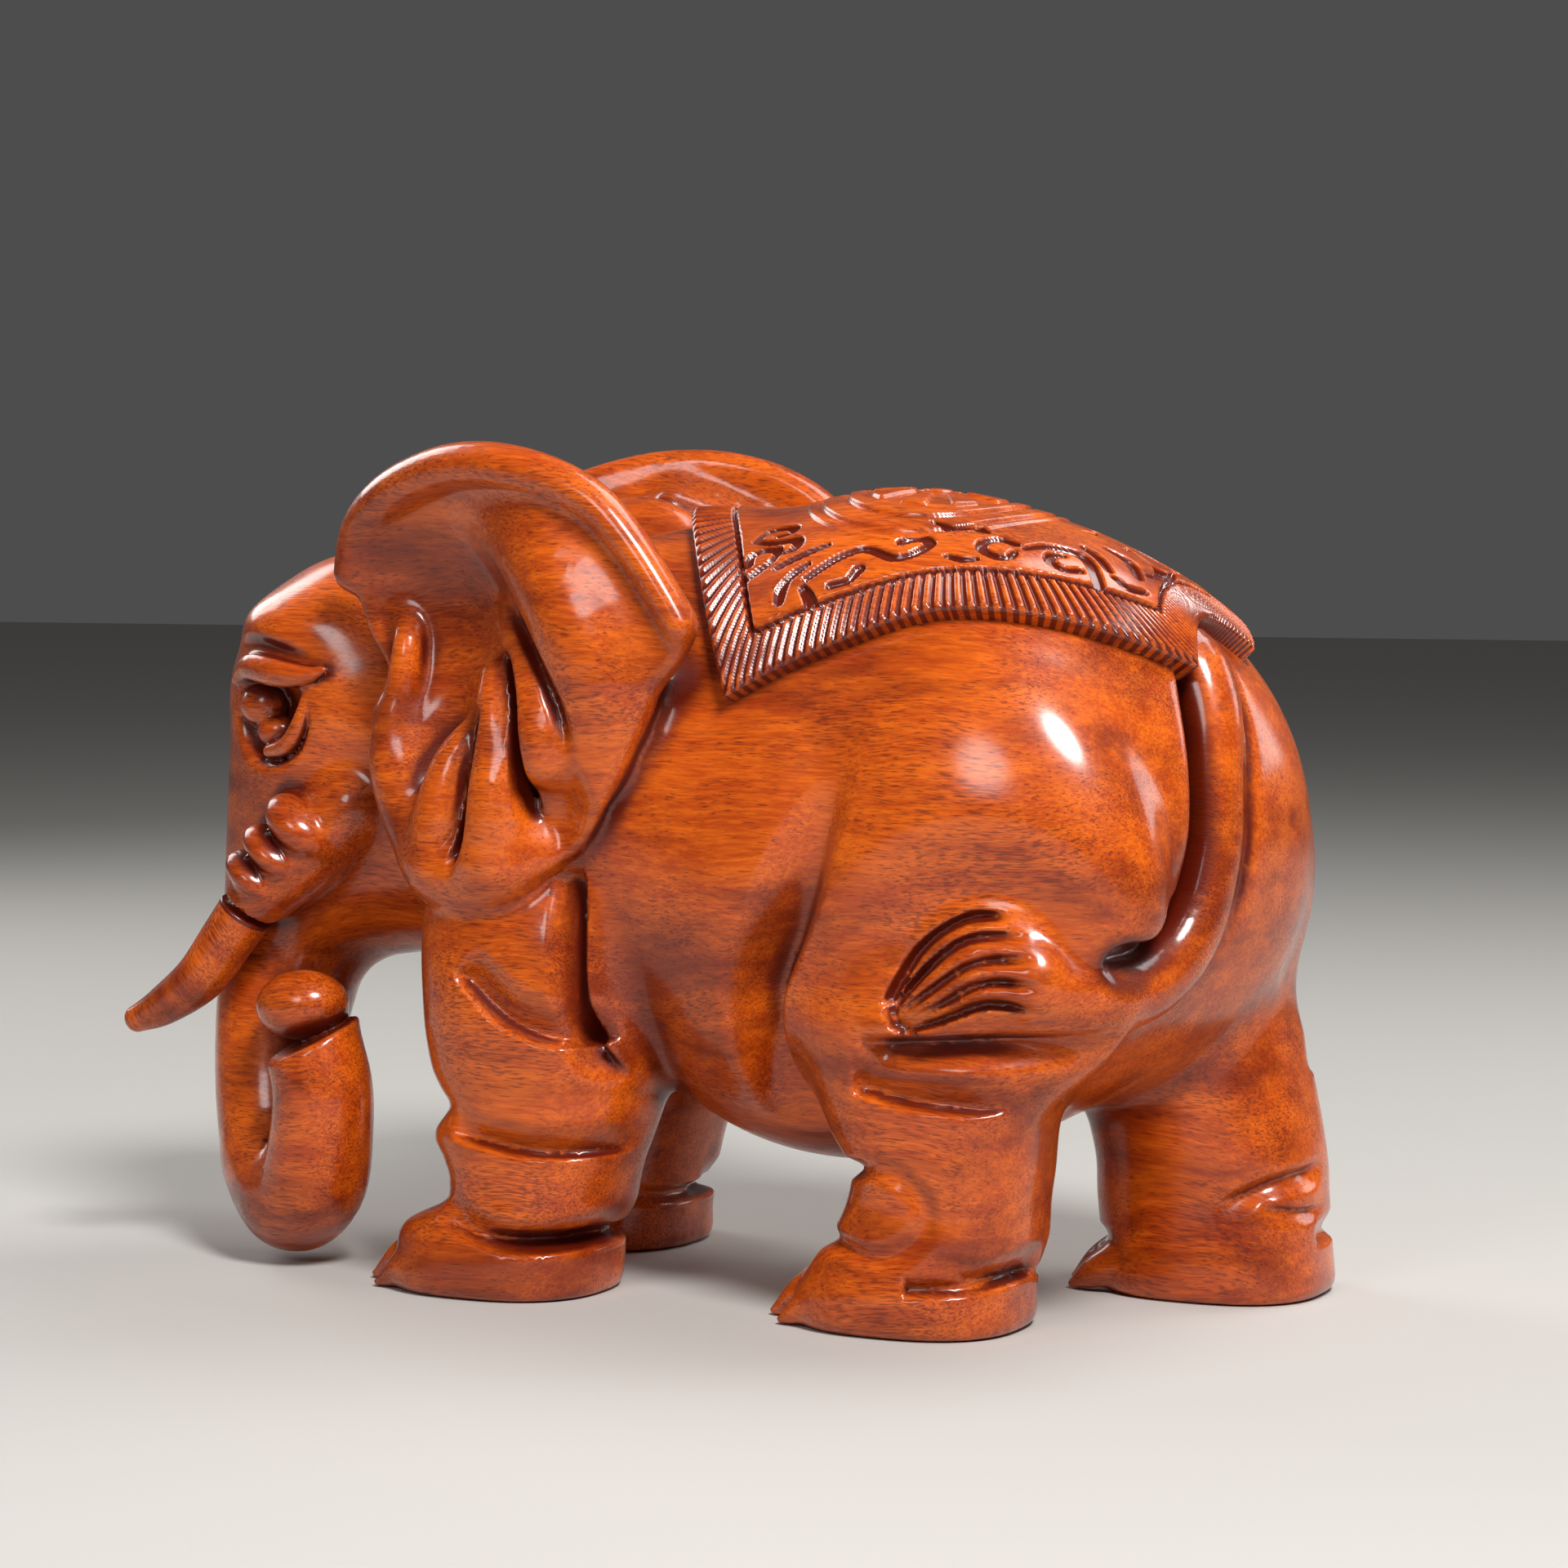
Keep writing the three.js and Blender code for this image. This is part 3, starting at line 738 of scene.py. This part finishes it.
# saddle cloth: a raised panel on the back, worked out on a grid, u across and v from front to rear
cloth = dict(
    spine=[(0, -3, 190), (0, 20, 194), (0, 45, 197), (0, 64, 197.5), (0, 90, 193.5), (0, 110, 184),
           (0, 124, 174), (0, 132, 167)],
    side=[(54, 33, 149), (49, 58, 160), (43, 80, 166), (38, 106, 165.5), (27.5, 122, 160), (15, 134, 155)],
    across=280,
    along=310,
    rim=5,
    sunkUnder=2.5,
    bandHeight=4.3,
    ribHeight=1.0,
    ribPitch=2.8,
    bandWidth=11.5,
    fieldHeight=5.6,
    strokeDepth=1.5,
    strokeSpan=94,  # the panel's length in the strokes' own measure
    lineDepth=1.3,
    petalHeight=0.9,
    closedAt=(0, 68, 150),
    # sunk strokes of the cloud pattern: along the panel, up from the band, half width
    strokes=[
        [(14.8, 8.5, 1), (23.2, 11.9, 1.2), (28.9, 12, 1.2), (34.6, 7, 1.3), (39.5, 7.2, 1.4),
         (43, 10.5, 1.4), (40.7, 12.8, 1.2), (36.5, 12, 1)],
        [(8.4, 16, 1), (14.5, 17, 1.3), (20.5, 17.6, 0.9)],
        [(10.3, 10.4, 1), (13, 12, 1.2), (15.6, 13.1, 0.8)],
        [(4.2, 30, 0.8), (8, 33, 1.1), (13.7, 30.6, 1.2), (13, 28.4, 1), (9.5, 29, 0.8)],
        [(4.2, 30, 0.9), (8, 26.8, 1), (14, 24, 1.3), (13.3, 20.8, 1.2), (10.3, 20.8, 0.8)],
        [(1.6, 21.6, 1.4), (2.7, 24.3, 1.1), (6.1, 24.8, 1), (9.5, 22.6, 1.2)],
        [(0.8, 16.6, 0.8), (4.2, 18, 1.1), (7.6, 19.4, 1), (9.5, 22.6, 1)],
        [(7.6, 5, 1.3), (8.6, 8, 1.5), (10.3, 10.4, 1.1)],
        [(19.8, 3.7, 1.1), (23.9, 3.6, 1.1), (26.6, 6.1, 1.5)],
        [(14.8, 0.4, 1.5), (14.4, 3.2, 1.4), (13.6, 6, 1)],
        [(61.8, 7.4, 0.8), (60.6, 5.2, 1.1), (57.8, 4.8, 1.3), (54.9, 7.2, 1.3), (55, 10.6, 1.3),
         (58.6, 12.6, 1.3), (62, 11, 1.2)],
        [(64.2, 9.4, 0.8), (68.8, 12, 1.3), (74.5, 11.7, 1.5), (77.5, 9.2, 1.5), (79, 4.5, 1.4),
         (79.8, 0.4, 1.3)],
        [(72, 9, 0.9), (69.6, 8.2, 1.2), (69.4, 5.3, 1.2), (72.2, 3.4, 1), (75.6, 4.4, 1)],
        [(76.4, 16, 0.9), (79.6, 12.6, 1.2), (82, 8, 1)],
        [(81, 19.5, 0.9), (86, 15.8, 1.4), (88.6, 9.4, 1)],
        [(84, 26, 0.9), (90, 22.5, 1.3), (92.5, 15.4, 1.2), (90.6, 12.6, 0.9)],
        [(83.4, 5.6, 1), (86.4, 3.4, 1.2), (90, 4, 1)],
        [(76, 29, 1), (80.5, 31, 1.2), (84.6, 28.5, 1.2), (84, 25.6, 0.9)],
        [(47, 5, 0.9), (50, 3.4, 1.2), (53.2, 3.6, 0.9)],
        [(44, 19, 0.8), (48.6, 16.4, 1.1), (53, 17.4, 1.3), (56, 16, 0.9)],
    ],
    medallion=dict(at=(0, 64, 197.5), rings=[(31, 0.5), (29.3, -0.9), (27.6, 1.1), (23.2, -0.9),
                                             (21.6, 1.3), (18.6, -0.8)]),
)


# the panel's place on the back: straight across from spine to side, x = w X, y = Y + (Y' - Y) w^1.3,
# z = Z + (Z' - Z) w^2, then dropped onto the block along the field's slope
def clothBase(steps, us, vs):
    rough = (57, 63)
    u, v = np.meshgrid(np.linspace(-1, 1, rough[0]), np.linspace(0, 1, rough[1]), indexing="ij")
    spine, side = (evenCurve(cloth[line], v.ravel()) for line in ("spine", "side"))
    w = np.abs(u).reshape(-1, 1)
    p = spine + (side - spine) * np.hstack([w, w**1.3, w**2])
    p[:, 0] *= np.sign(u.ravel())
    p = p.astype(np.float32)
    for _ in range(8):
        g = slopeOf(p, steps, 0.4)
        p = p - np.clip(fieldOf(p, steps) / np.maximum((g**2).sum(1), 0.3), -3, 3)[:, None] * g
    grid = p.reshape(rough[0], rough[1], 3)
    for _ in range(2):
        round4 = grid[:-2, 1:-1] + grid[2:, 1:-1] + grid[1:-1, :-2] + grid[1:-1, 2:]
        grid[1:-1, 1:-1] = (round4 + 4 * grid[1:-1, 1:-1]) / 8
    return spread(spread(grid, (us + 1) / 2).swapaxes(0, 1), vs).swapaxes(0, 1)


# places at even steps of length along a smooth curve through points
def evenCurve(points, share):
    line = curveThrough(points, 400)
    gone = np.concatenate([[0], np.cumsum(np.linalg.norm(np.diff(line, axis=0), axis=1))])
    return np.column_stack([np.interp(share * gone[-1], gone, line[:, k]) for k in range(3)])


# rows of a grid drawn finer by the same smooth curve, at shares 0 to 1 of its first direction
def spread(grid, share):
    n = len(grid) - 1
    i = np.minimum((share * n).astype(int), n - 1)
    t = (share * n - i)[:, None, None]
    return between(*(grid[np.clip(i + k, 0, n)] for k in (-1, 0, 1, 2)), t)


# length gone along a grid's rows or columns: the running sum of the steps
def lengthsAlong(base, axis):
    step = np.linalg.norm(np.diff(base, axis=axis), axis=2)
    zero = np.zeros_like(step[:1]) if axis == 0 else np.zeros_like(step[:, :1])
    return np.concatenate([zero, np.cumsum(step, axis=axis)], axis=axis)


# height of the worked face over the back: ribbed band, then the field less its sunk strokes, plus the rings;
# also painted shade, darkest in the sunk strokes, between the band's ribs and along its sunk line
def clothHeight(base, u, v):
    lengthV, lengthU = lengthsAlong(base, 1), lengthsAlong(base, 0)
    middle = lengthU[len(lengthU) // 2]
    out = np.abs(lengthU - middle)
    dSide = np.where(u > 0, lengthU[-1] - lengthU, lengthU)
    dFront, dRear = lengthV, lengthV[:, -1:] - lengthV
    edge = np.minimum(dSide, np.minimum(dFront, dRear))
    c, e = np.abs(u), np.abs(2 * v - 1)
    most = np.maximum(np.maximum(c, e), 1e-6)
    halfLength, halfWidth = lengthV[0, -1] / 2, middle.mean()
    sideways = c >= e
    phase = np.where(sideways, halfLength * (1 - e / most), halfWidth * (1 - c / most))
    ridge = ease(0.5 - 0.5 * np.cos(2 * np.pi * phase / cloth["ribPitch"]), 0.08, 0.85)
    band = cloth["bandHeight"] + cloth["ribHeight"] * ridge * ease(edge, 0.0, 1.2)
    inward = edge - cloth["bandWidth"]
    line = ease(inward, -0.9, -0.4) * (1 - ease(inward, 0.35, 0.8))
    band = band - cloth["lineDepth"] * line
    field = np.full_like(band, cloth["fieldHeight"])
    ax, up = dFront - cloth["bandWidth"], dSide - cloth["bandWidth"]
    ax = ax * cloth["strokeSpan"] / (lengthV[:, -1:] - 2 * cloth["bandWidth"])
    sunk = np.zeros_like(band)
    flat = np.column_stack([ax.ravel(), up.ravel(), np.zeros(ax.size)]).astype(np.float32)
    for stroke in cloth["strokes"]:
        stations = np.array([(a, b, 0, r) for a, b, r in stroke], float)
        distance, low, high = bar(stations, 5)
        near = np.nonzero(np.all((flat > low - 1) & (flat < high + 1), axis=1))[0]
        cut = 1 - ease(distance(flat[near]), -0.35, 0.3)
        sunk.ravel()[near] = np.maximum(sunk.ravel()[near], cut)
    field -= cloth["strokeDepth"] * sunk
    centre = vec(*cloth["medallion"]["at"])
    near = base - centre
    near[..., 2] *= 0.6
    r = np.linalg.norm(near, axis=2)
    angle = np.arctan2(near[..., 1], near[..., 0])
    for radius, rise in cloth["medallion"]["rings"]:
        field += rise * (1 - ease(r, radius - 0.4, radius + 0.4))
    petal = ease(np.cos(8 * angle), -0.25, 0.25) * ease(r, 7, 8) * (1 - ease(r, 16, 17))
    boss = 1 - ease(r, 3.6, 4.6)
    field += cloth["petalHeight"] * (petal + boss)
    inside = ease(inward, 0.45, 0.95)
    # painted shade: dark in the sunk strokes, between the ribs of the band and along its sunk line
    painted_shade = np.clip(np.maximum(sunk * inside, (1 - inside) * np.maximum(0.75 * (1 - ridge), line)), 0, 1)
    return band + (field - band) * inside, painted_shade


# cloth: base + normal x height, with a rim brought down under the back and closed underneath
def makeCloth(steps, material):
    rim = cloth["rim"]
    us, vs = np.linspace(-1, 1, cloth["across"]), np.linspace(0, 1, cloth["along"])
    base = clothBase(steps, us, vs)
    u, v = np.meshgrid(us, vs, indexing="ij")
    height, painted_shade = clothHeight(base, u, v)
    du, dv = np.gradient(base, axis=0), np.gradient(base, axis=1)
    normal = np.cross(du, dv)
    normal /= np.linalg.norm(normal, axis=2, keepdims=True)
    # rim: the outermost rows again, lifted in steps
    grown = lambda a: np.pad(a, ((rim, rim), (rim, rim)) + ((0, 0),) * (a.ndim - 2), mode="edge")
    base, normal, height, painted_shade = (grown(a) for a in (base, normal, height, painted_shade))
    rise = [np.minimum(np.minimum(np.arange(n), np.arange(n)[::-1]) / rim, 1) for n in base.shape[:2]]
    rise = np.minimum(rise[0][:, None], rise[1][None, :])
    height = -cloth["sunkUnder"] + (height + cloth["sunkUnder"]) * rise
    points = (base + normal * height[..., None]).reshape(-1, 3)
    rows, columns = base.shape[:2]
    index = np.arange(rows * columns).reshape(rows, columns)
    a, b, c, d = index[:-1, :-1], index[1:, :-1], index[1:, 1:], index[:-1, 1:]
    faces = np.concatenate([np.stack([a, b, c], -1).reshape(-1, 3), np.stack([a, c, d], -1).reshape(-1, 3)])
    loop = np.concatenate([index[:-1, 0], index[-1, :-1], index[:0:-1, -1], index[0, :0:-1]])
    points = np.vstack([points, [cloth["closedAt"]]])
    last = np.full(len(loop), len(points) - 1)
    faces = np.concatenate([faces, np.column_stack([np.roll(loop, -1), loop, last])])
    mesh = meshOf("saddleCloth", points, faces, None, dict(painted_shade=np.append(painted_shade.ravel(), 0)))
    print("saddle cloth:", len(faces), "triangles")
    return pieceOf("saddle_cloth", mesh, material)


# tusk with its tenon: rings carried along the path, radius changing with the way gone, closed at both ends
def makeTusk(name, side, material, rings=120, around=56):
    mouth, out = np.array(tusk["mouth"], float), np.array(tusk["out"], float)
    line = curveThrough(tusk["path"], 240)
    way = np.concatenate([[0], np.cumsum(np.linalg.norm(np.diff(line[:, :3], axis=0), axis=1))])
    end, gap = way[-1] + tusk["tipLength"], tusk["gap"]
    shank = np.linspace(gap, end, rings)
    foot, thick = -tusk["tenonLength"], tusk["tenonRadius"]
    tenon = [(foot, 0), (foot, thick - 0.4), (foot + 0.5, thick), (gap, thick), (gap, 7)]
    reach = np.interp(shank, way, line[:, 3])
    past = np.clip((shank - way[-1]) / (end - way[-1]), 0, 1)
    reach = np.maximum(reach * np.sqrt(np.maximum(1 - past**2, 0)), 1e-4)
    reach[0] = tusk["seatRadius"]
    s = np.concatenate([[t[0] for t in tenon], shank])
    radius = np.concatenate([[max(t[1], 1e-4) for t in tenon], reach])
    centre = np.column_stack([np.interp(s, way, line[:, k]) for k in range(3)])
    finish = (line[-1, :3] - line[-2, :3]) / np.linalg.norm(line[-1, :3] - line[-2, :3])
    centre = np.where(s[:, None] < 0, mouth + s[:, None] * out, centre)
    centre = np.where(s[:, None] > way[-1], line[-1, :3] + (s[:, None] - way[-1]) * finish, centre)
    tangent = np.column_stack([np.interp(s, way, np.gradient(line[:, k], way)) for k in range(3)])
    tangent = np.where(s[:, None] <= 0.4, out, tangent)
    tangent /= np.linalg.norm(tangent, axis=1, keepdims=True)
    across = np.cross(tangent, (1, 0, 0))
    across /= np.linalg.norm(across, axis=1, keepdims=True)
    other = np.cross(tangent, across)
    turn = np.linspace(0, 2 * np.pi, around, endpoint=False)
    ring = across[:, None] * np.cos(turn)[None, :, None] + other[:, None] * np.sin(turn)[None, :, None]
    points = (centre[:, None] + ring * radius[:, None, None]).reshape(-1, 3)
    index = np.arange(len(s) * around).reshape(len(s), around)
    a, b = index[:-1], index[1:]
    quads = np.stack([a, np.roll(a, -1, 1), np.roll(b, -1, 1), b], -1).reshape(-1, 4)
    faces = np.concatenate([quads[:, [0, 1, 2]], quads[:, [0, 2, 3]]])
    points[:, 0] *= side
    if side < 0:
        faces = faces[:, ::-1]
    # painted shade at the tusk's root, where it goes into the sheath's mouth, and on its tenon
    tuskRootShade = np.where(s[:, None] < 1.2, 0.7, 0.0).repeat(around, 1).ravel()
    mesh = meshOf(name, points, faces, None, dict(painted_shade=tuskRootShade))
    bm = bmesh.new()
    bm.from_mesh(mesh)
    bmesh.ops.remove_doubles(bm, verts=bm.verts, dist=2e-6)
    bmesh.ops.recalc_face_normals(bm, faces=bm.faces)
    bm.to_mesh(mesh)
    bm.free()
    mesh.polygons.foreach_set("use_smooth", np.ones(len(mesh.polygons), bool))
    return pieceOf(name, mesh, material)


# finish: lacquered red wood; the last entry is the range of the painted shade mark that darkens towards the
# shade colour, and how far: painted shade in hollows and creases
wood = dict(
    light=(0.76, 0.135, 0.005, 1),
    middle=(0.45, 0.052, 0.002, 1),
    deep=(0.17, 0.013, 0.001, 1),
    pore=(0.085, 0.006, 0.001, 1),
    # painted shade: the colour that hollows and creases are darkened towards
    shade=(0.10, 0.005, 0.001, 1),
    roughness=0.40,
    poreRoughness=0.6,
    coat=0.9,
    lacquer=0.17,
    bump=0.25,
    bumpDepth=0.0002,
    figure=0.8,
    pores=0.6,
    painted_shade=(0.10, 0.55, 0.0, 0.95),
)


def link(tree, a, b):
    tree.links.new(a, b)


def setInputs(node, values):
    for name, value in values.items():
        node.inputs[name].default_value = value


# a new node with its inputs and its properties set
def nodeIn(tree, kind, inputs=None, **settings):
    node = tree.nodes.new(kind)
    for name, value in settings.items():
        setattr(node, name, value)
    setInputs(node, inputs or {})
    return node


# a x share + b, where b may be left out
def scaled(tree, a, share, b=None):
    node = nodeIn(tree, "ShaderNodeMath", operation="MULTIPLY" if b is None else "MULTIPLY_ADD")
    link(tree, a, node.inputs[0])
    node.inputs[1].default_value = share
    if b is not None:
        link(tree, b, node.inputs[2])
    return node.outputs[0]


# source eased from a to b while it runs from low to high
def rangeOf(tree, source, low, high, a=0.0, b=1.0):
    ends = {"From Min": low, "From Max": high, "To Min": a, "To Max": b}
    node = nodeIn(tree, "ShaderNodeMapRange", ends, interpolation_type="SMOOTHSTEP")
    link(tree, source, node.inputs["Value"])
    return node.outputs[0]


# noise drawn out along the grain
def streaks(tree, place, size, detail, roughness, shift=0.0):
    away = (shift, shift * 0.7, shift * 1.3)
    mapping = nodeIn(tree, "ShaderNodeMapping", {"Scale": size, "Location": away})
    noise = nodeIn(tree, "ShaderNodeTexNoise", {"Scale": 1, "Detail": detail, "Roughness": roughness})
    link(tree, place, mapping.inputs["Vector"])
    link(tree, mapping.outputs[0], noise.inputs["Vector"])
    return noise.outputs["Fac"]


# grain of the wood in the block's own directions: rings of tone, fibres and open pores that run along Y
def woodGrain():
    tree = bpy.data.node_groups.new("woodGrain", "ShaderNodeTree")
    tree.interface.new_socket("Place", in_out="INPUT", socket_type="NodeSocketVector")
    for name in ("Tone", "Figure", "Pores", "Height"):
        tree.interface.new_socket(name, in_out="OUTPUT", socket_type="NodeSocketFloat")
    start, end = nodeIn(tree, "NodeGroupInput"), nodeIn(tree, "NodeGroupOutput")
    sway = nodeIn(tree, "ShaderNodeTexNoise", {"Scale": 17, "Detail": 2})
    push = nodeIn(tree, "ShaderNodeVectorMath", operation="MULTIPLY_ADD")
    push.inputs[1].default_value = (0.006, 0.012, 0.010)
    link(tree, start.outputs["Place"], sway.inputs["Vector"])
    link(tree, sway.outputs["Color"], push.inputs[0])
    link(tree, start.outputs["Place"], push.inputs[2])
    place = push.outputs[0]
    tone = streaks(tree, place, (130, 15, 150), 6, 0.65)
    figure = streaks(tree, place, (34, 9, 42), 6, 0.68, 3.1)
    fibre = streaks(tree, place, (1250, 100, 1250), 3, 0.6, 1.7)
    long = streaks(tree, place, (2300, 230, 2300), 2, 0.5, 5.3)
    where = streaks(tree, place, (60, 22, 60), 2, 0.5, 8.9)
    pores = rangeOf(tree, scaled(tree, where, 0.42, long), 0.72, 0.92)
    link(tree, rangeOf(tree, scaled(tree, fibre, 0.8, tone), 0.66, 1.15), end.inputs["Tone"])
    link(tree, rangeOf(tree, figure, 0.44, 0.66), end.inputs["Figure"])
    link(tree, pores, end.inputs["Pores"])
    link(tree, scaled(tree, pores, -1.0, fibre), end.inputs["Height"])
    return tree


# a + (b - a) x share; each may be a value or a socket
def mixOf(tree, share, a, b):
    node = nodeIn(tree, "ShaderNodeMix", data_type="RGBA")
    for socket, value in ((0, share), (6, a), (7, b)):
        if isinstance(value, (tuple, float)):
            node.inputs[socket].default_value = value
        else:
            link(tree, value, node.inputs[socket])
    return node.outputs[2]


# lacquered wood: light and middle by tone, deep by figure, painted shade in hollows and creases, darkened in
# pores, under a clear coat
def lacqueredWood(name, grain, turn=(0, 0, 0)):
    material = bpy.data.materials.new(name)
    material.use_nodes = True
    tree = material.node_tree
    shader = tree.nodes["Principled BSDF"]
    place = nodeIn(tree, "ShaderNodeTexCoord").outputs["Object"]
    mapping = nodeIn(tree, "ShaderNodeMapping", {"Rotation": turn})
    link(tree, place, mapping.inputs["Vector"])
    wooden = nodeIn(tree, "ShaderNodeGroup", node_tree=grain)
    link(tree, mapping.outputs[0], wooden.inputs["Place"])
    # painted shade: a mark on each piece, darker where shade falls in hollows, creases and at the tusks'
    # roots
    painted_shade = nodeIn(tree, "ShaderNodeAttribute", attribute_name="painted_shade")
    colour = mixOf(tree, wooden.outputs["Tone"], wood["middle"], wood["light"])
    colour = mixOf(tree, scaled(tree, wooden.outputs["Figure"], wood["figure"]), colour, wood["deep"])
    colour = mixOf(tree, rangeOf(tree, painted_shade.outputs["Fac"], *wood["painted_shade"]), colour, wood["shade"])
    colour = mixOf(tree, scaled(tree, wooden.outputs["Pores"], wood["pores"]), colour, wood["pore"])
    link(tree, colour, shader.inputs["Base Color"])
    rough = rangeOf(tree, wooden.outputs["Pores"], 0.0, 1.0, wood["roughness"], wood["poreRoughness"])
    link(tree, rough, shader.inputs["Roughness"])
    bump = nodeIn(tree, "ShaderNodeBump", {"Strength": wood["bump"], "Distance": wood["bumpDepth"]})
    link(tree, wooden.outputs["Height"], bump.inputs["Height"])
    link(tree, bump.outputs[0], shader.inputs["Normal"])
    setInputs(shader, {"Coat Weight": wood["coat"], "Coat Roughness": wood["lacquer"], "Coat IOR": 1.5,
                       "Specular IOR Level": 0.15})
    return material


stage = dict(
    # name, place, aim, width, height, watts
    lights=[
        ("key", (0.66, 0.74, 1.20), (0, 0.03, 0.12), 0.44, 0.44, 24),
        ("overhead", (-0.45, 0.35, 1.10), (0, 0.02, 0.12), 0.6, 0.6, 6),
        ("front", (-0.40, -1.00, 0.75), (0, -0.05, 0.13), 0.6, 0.6, 5),
        ("side", (1.15, -0.05, 0.72), (0.03, -0.04, 0.15), 0.4, 0.4, 3),
        ("behind", (-1.0, 0.9, 0.6), (0, 0, 0.12), 0.5, 0.5, 2.5),
    ],
    sky=(0.62, 0.62, 0.62, 1),
    skyStrength=0.12,
    floor=(0.52, 0.50, 0.47, 1),
    camera=(0.92127, 0.47064, 0.189),
    azimuth=26,
    dip=3.548,
    lens=93.75,
)


# pale floor, sky, five soft lights and the camera, which looks along (azimuth, dip)
def makeStage():
    bpy.ops.mesh.primitive_plane_add(size=12, location=(0, 0, -0.0002))
    floor = bpy.context.object
    floor.name = "floor"
    paper = bpy.data.materials.new("palePaper")
    paper.use_nodes = True
    shader = paper.node_tree.nodes["Principled BSDF"]
    setInputs(shader, {"Base Color": stage["floor"], "Roughness": 0.8})
    floor.data.materials.append(paper)
    floor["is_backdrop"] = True
    world = bpy.data.worlds.new("studio")
    bpy.context.scene.world = world
    world.use_nodes = True
    setInputs(world.node_tree.nodes["Background"], {"Color": stage["sky"], "Strength": stage["skyStrength"]})
    for name, place, aim, width, height, watts in stage["lights"]:
        data = bpy.data.lights.new(name, "AREA")
        data.shape = "ELLIPSE" if name in ("key", "side") else "RECTANGLE"
        data.size, data.size_y, data.energy = width, height, watts
        lamp = bpy.data.objects.new(name, data)
        lamp.location = place
        lamp.rotation_euler = (Vector(aim) - Vector(place)).to_track_quat("-Z", "Y").to_euler()
        bpy.context.collection.objects.link(lamp)
    data = bpy.data.cameras.new("camera")
    data.lens, data.sensor_width = stage["lens"], 36
    camera = bpy.data.objects.new("camera", data)
    camera.location = stage["camera"]
    turn, dip = math.radians(stage["azimuth"]), math.radians(stage["dip"])
    ahead = Vector((-math.cos(turn) * math.cos(dip), -math.sin(turn) * math.cos(dip), -math.sin(dip)))
    camera.rotation_euler = ahead.to_track_quat("-Z", "Y").to_euler()
    bpy.context.collection.objects.link(camera)
    bpy.context.scene.camera = camera
    bpy.context.scene.view_settings.view_transform = "Standard"


makeStage()
grain = woodGrain()
blockWood = lacqueredWood("lacquered rosewood", grain)
tuskWood = lacqueredWood("lacquered rosewood, tusks", grain, (0.9, 0, 0.1))
block, bareBack = makeBlock(blockWood)
clothPanel = makeCloth(bareBack, blockWood)
tusks = {name: makeTusk(name, side, tuskWood) for name, side in (("left_tusk", 1), ("right_tusk", -1))}
print("pieces made")

for piece in (block, clothPanel):
    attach(piece, "elephant")
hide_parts("carved_body")
for name, piece in tusks.items():
    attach(piece, name)
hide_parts("tusk_left")
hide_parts("tusk_right")

sizes = [np.asarray(box, float).tolist() for box in (cadBox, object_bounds())]
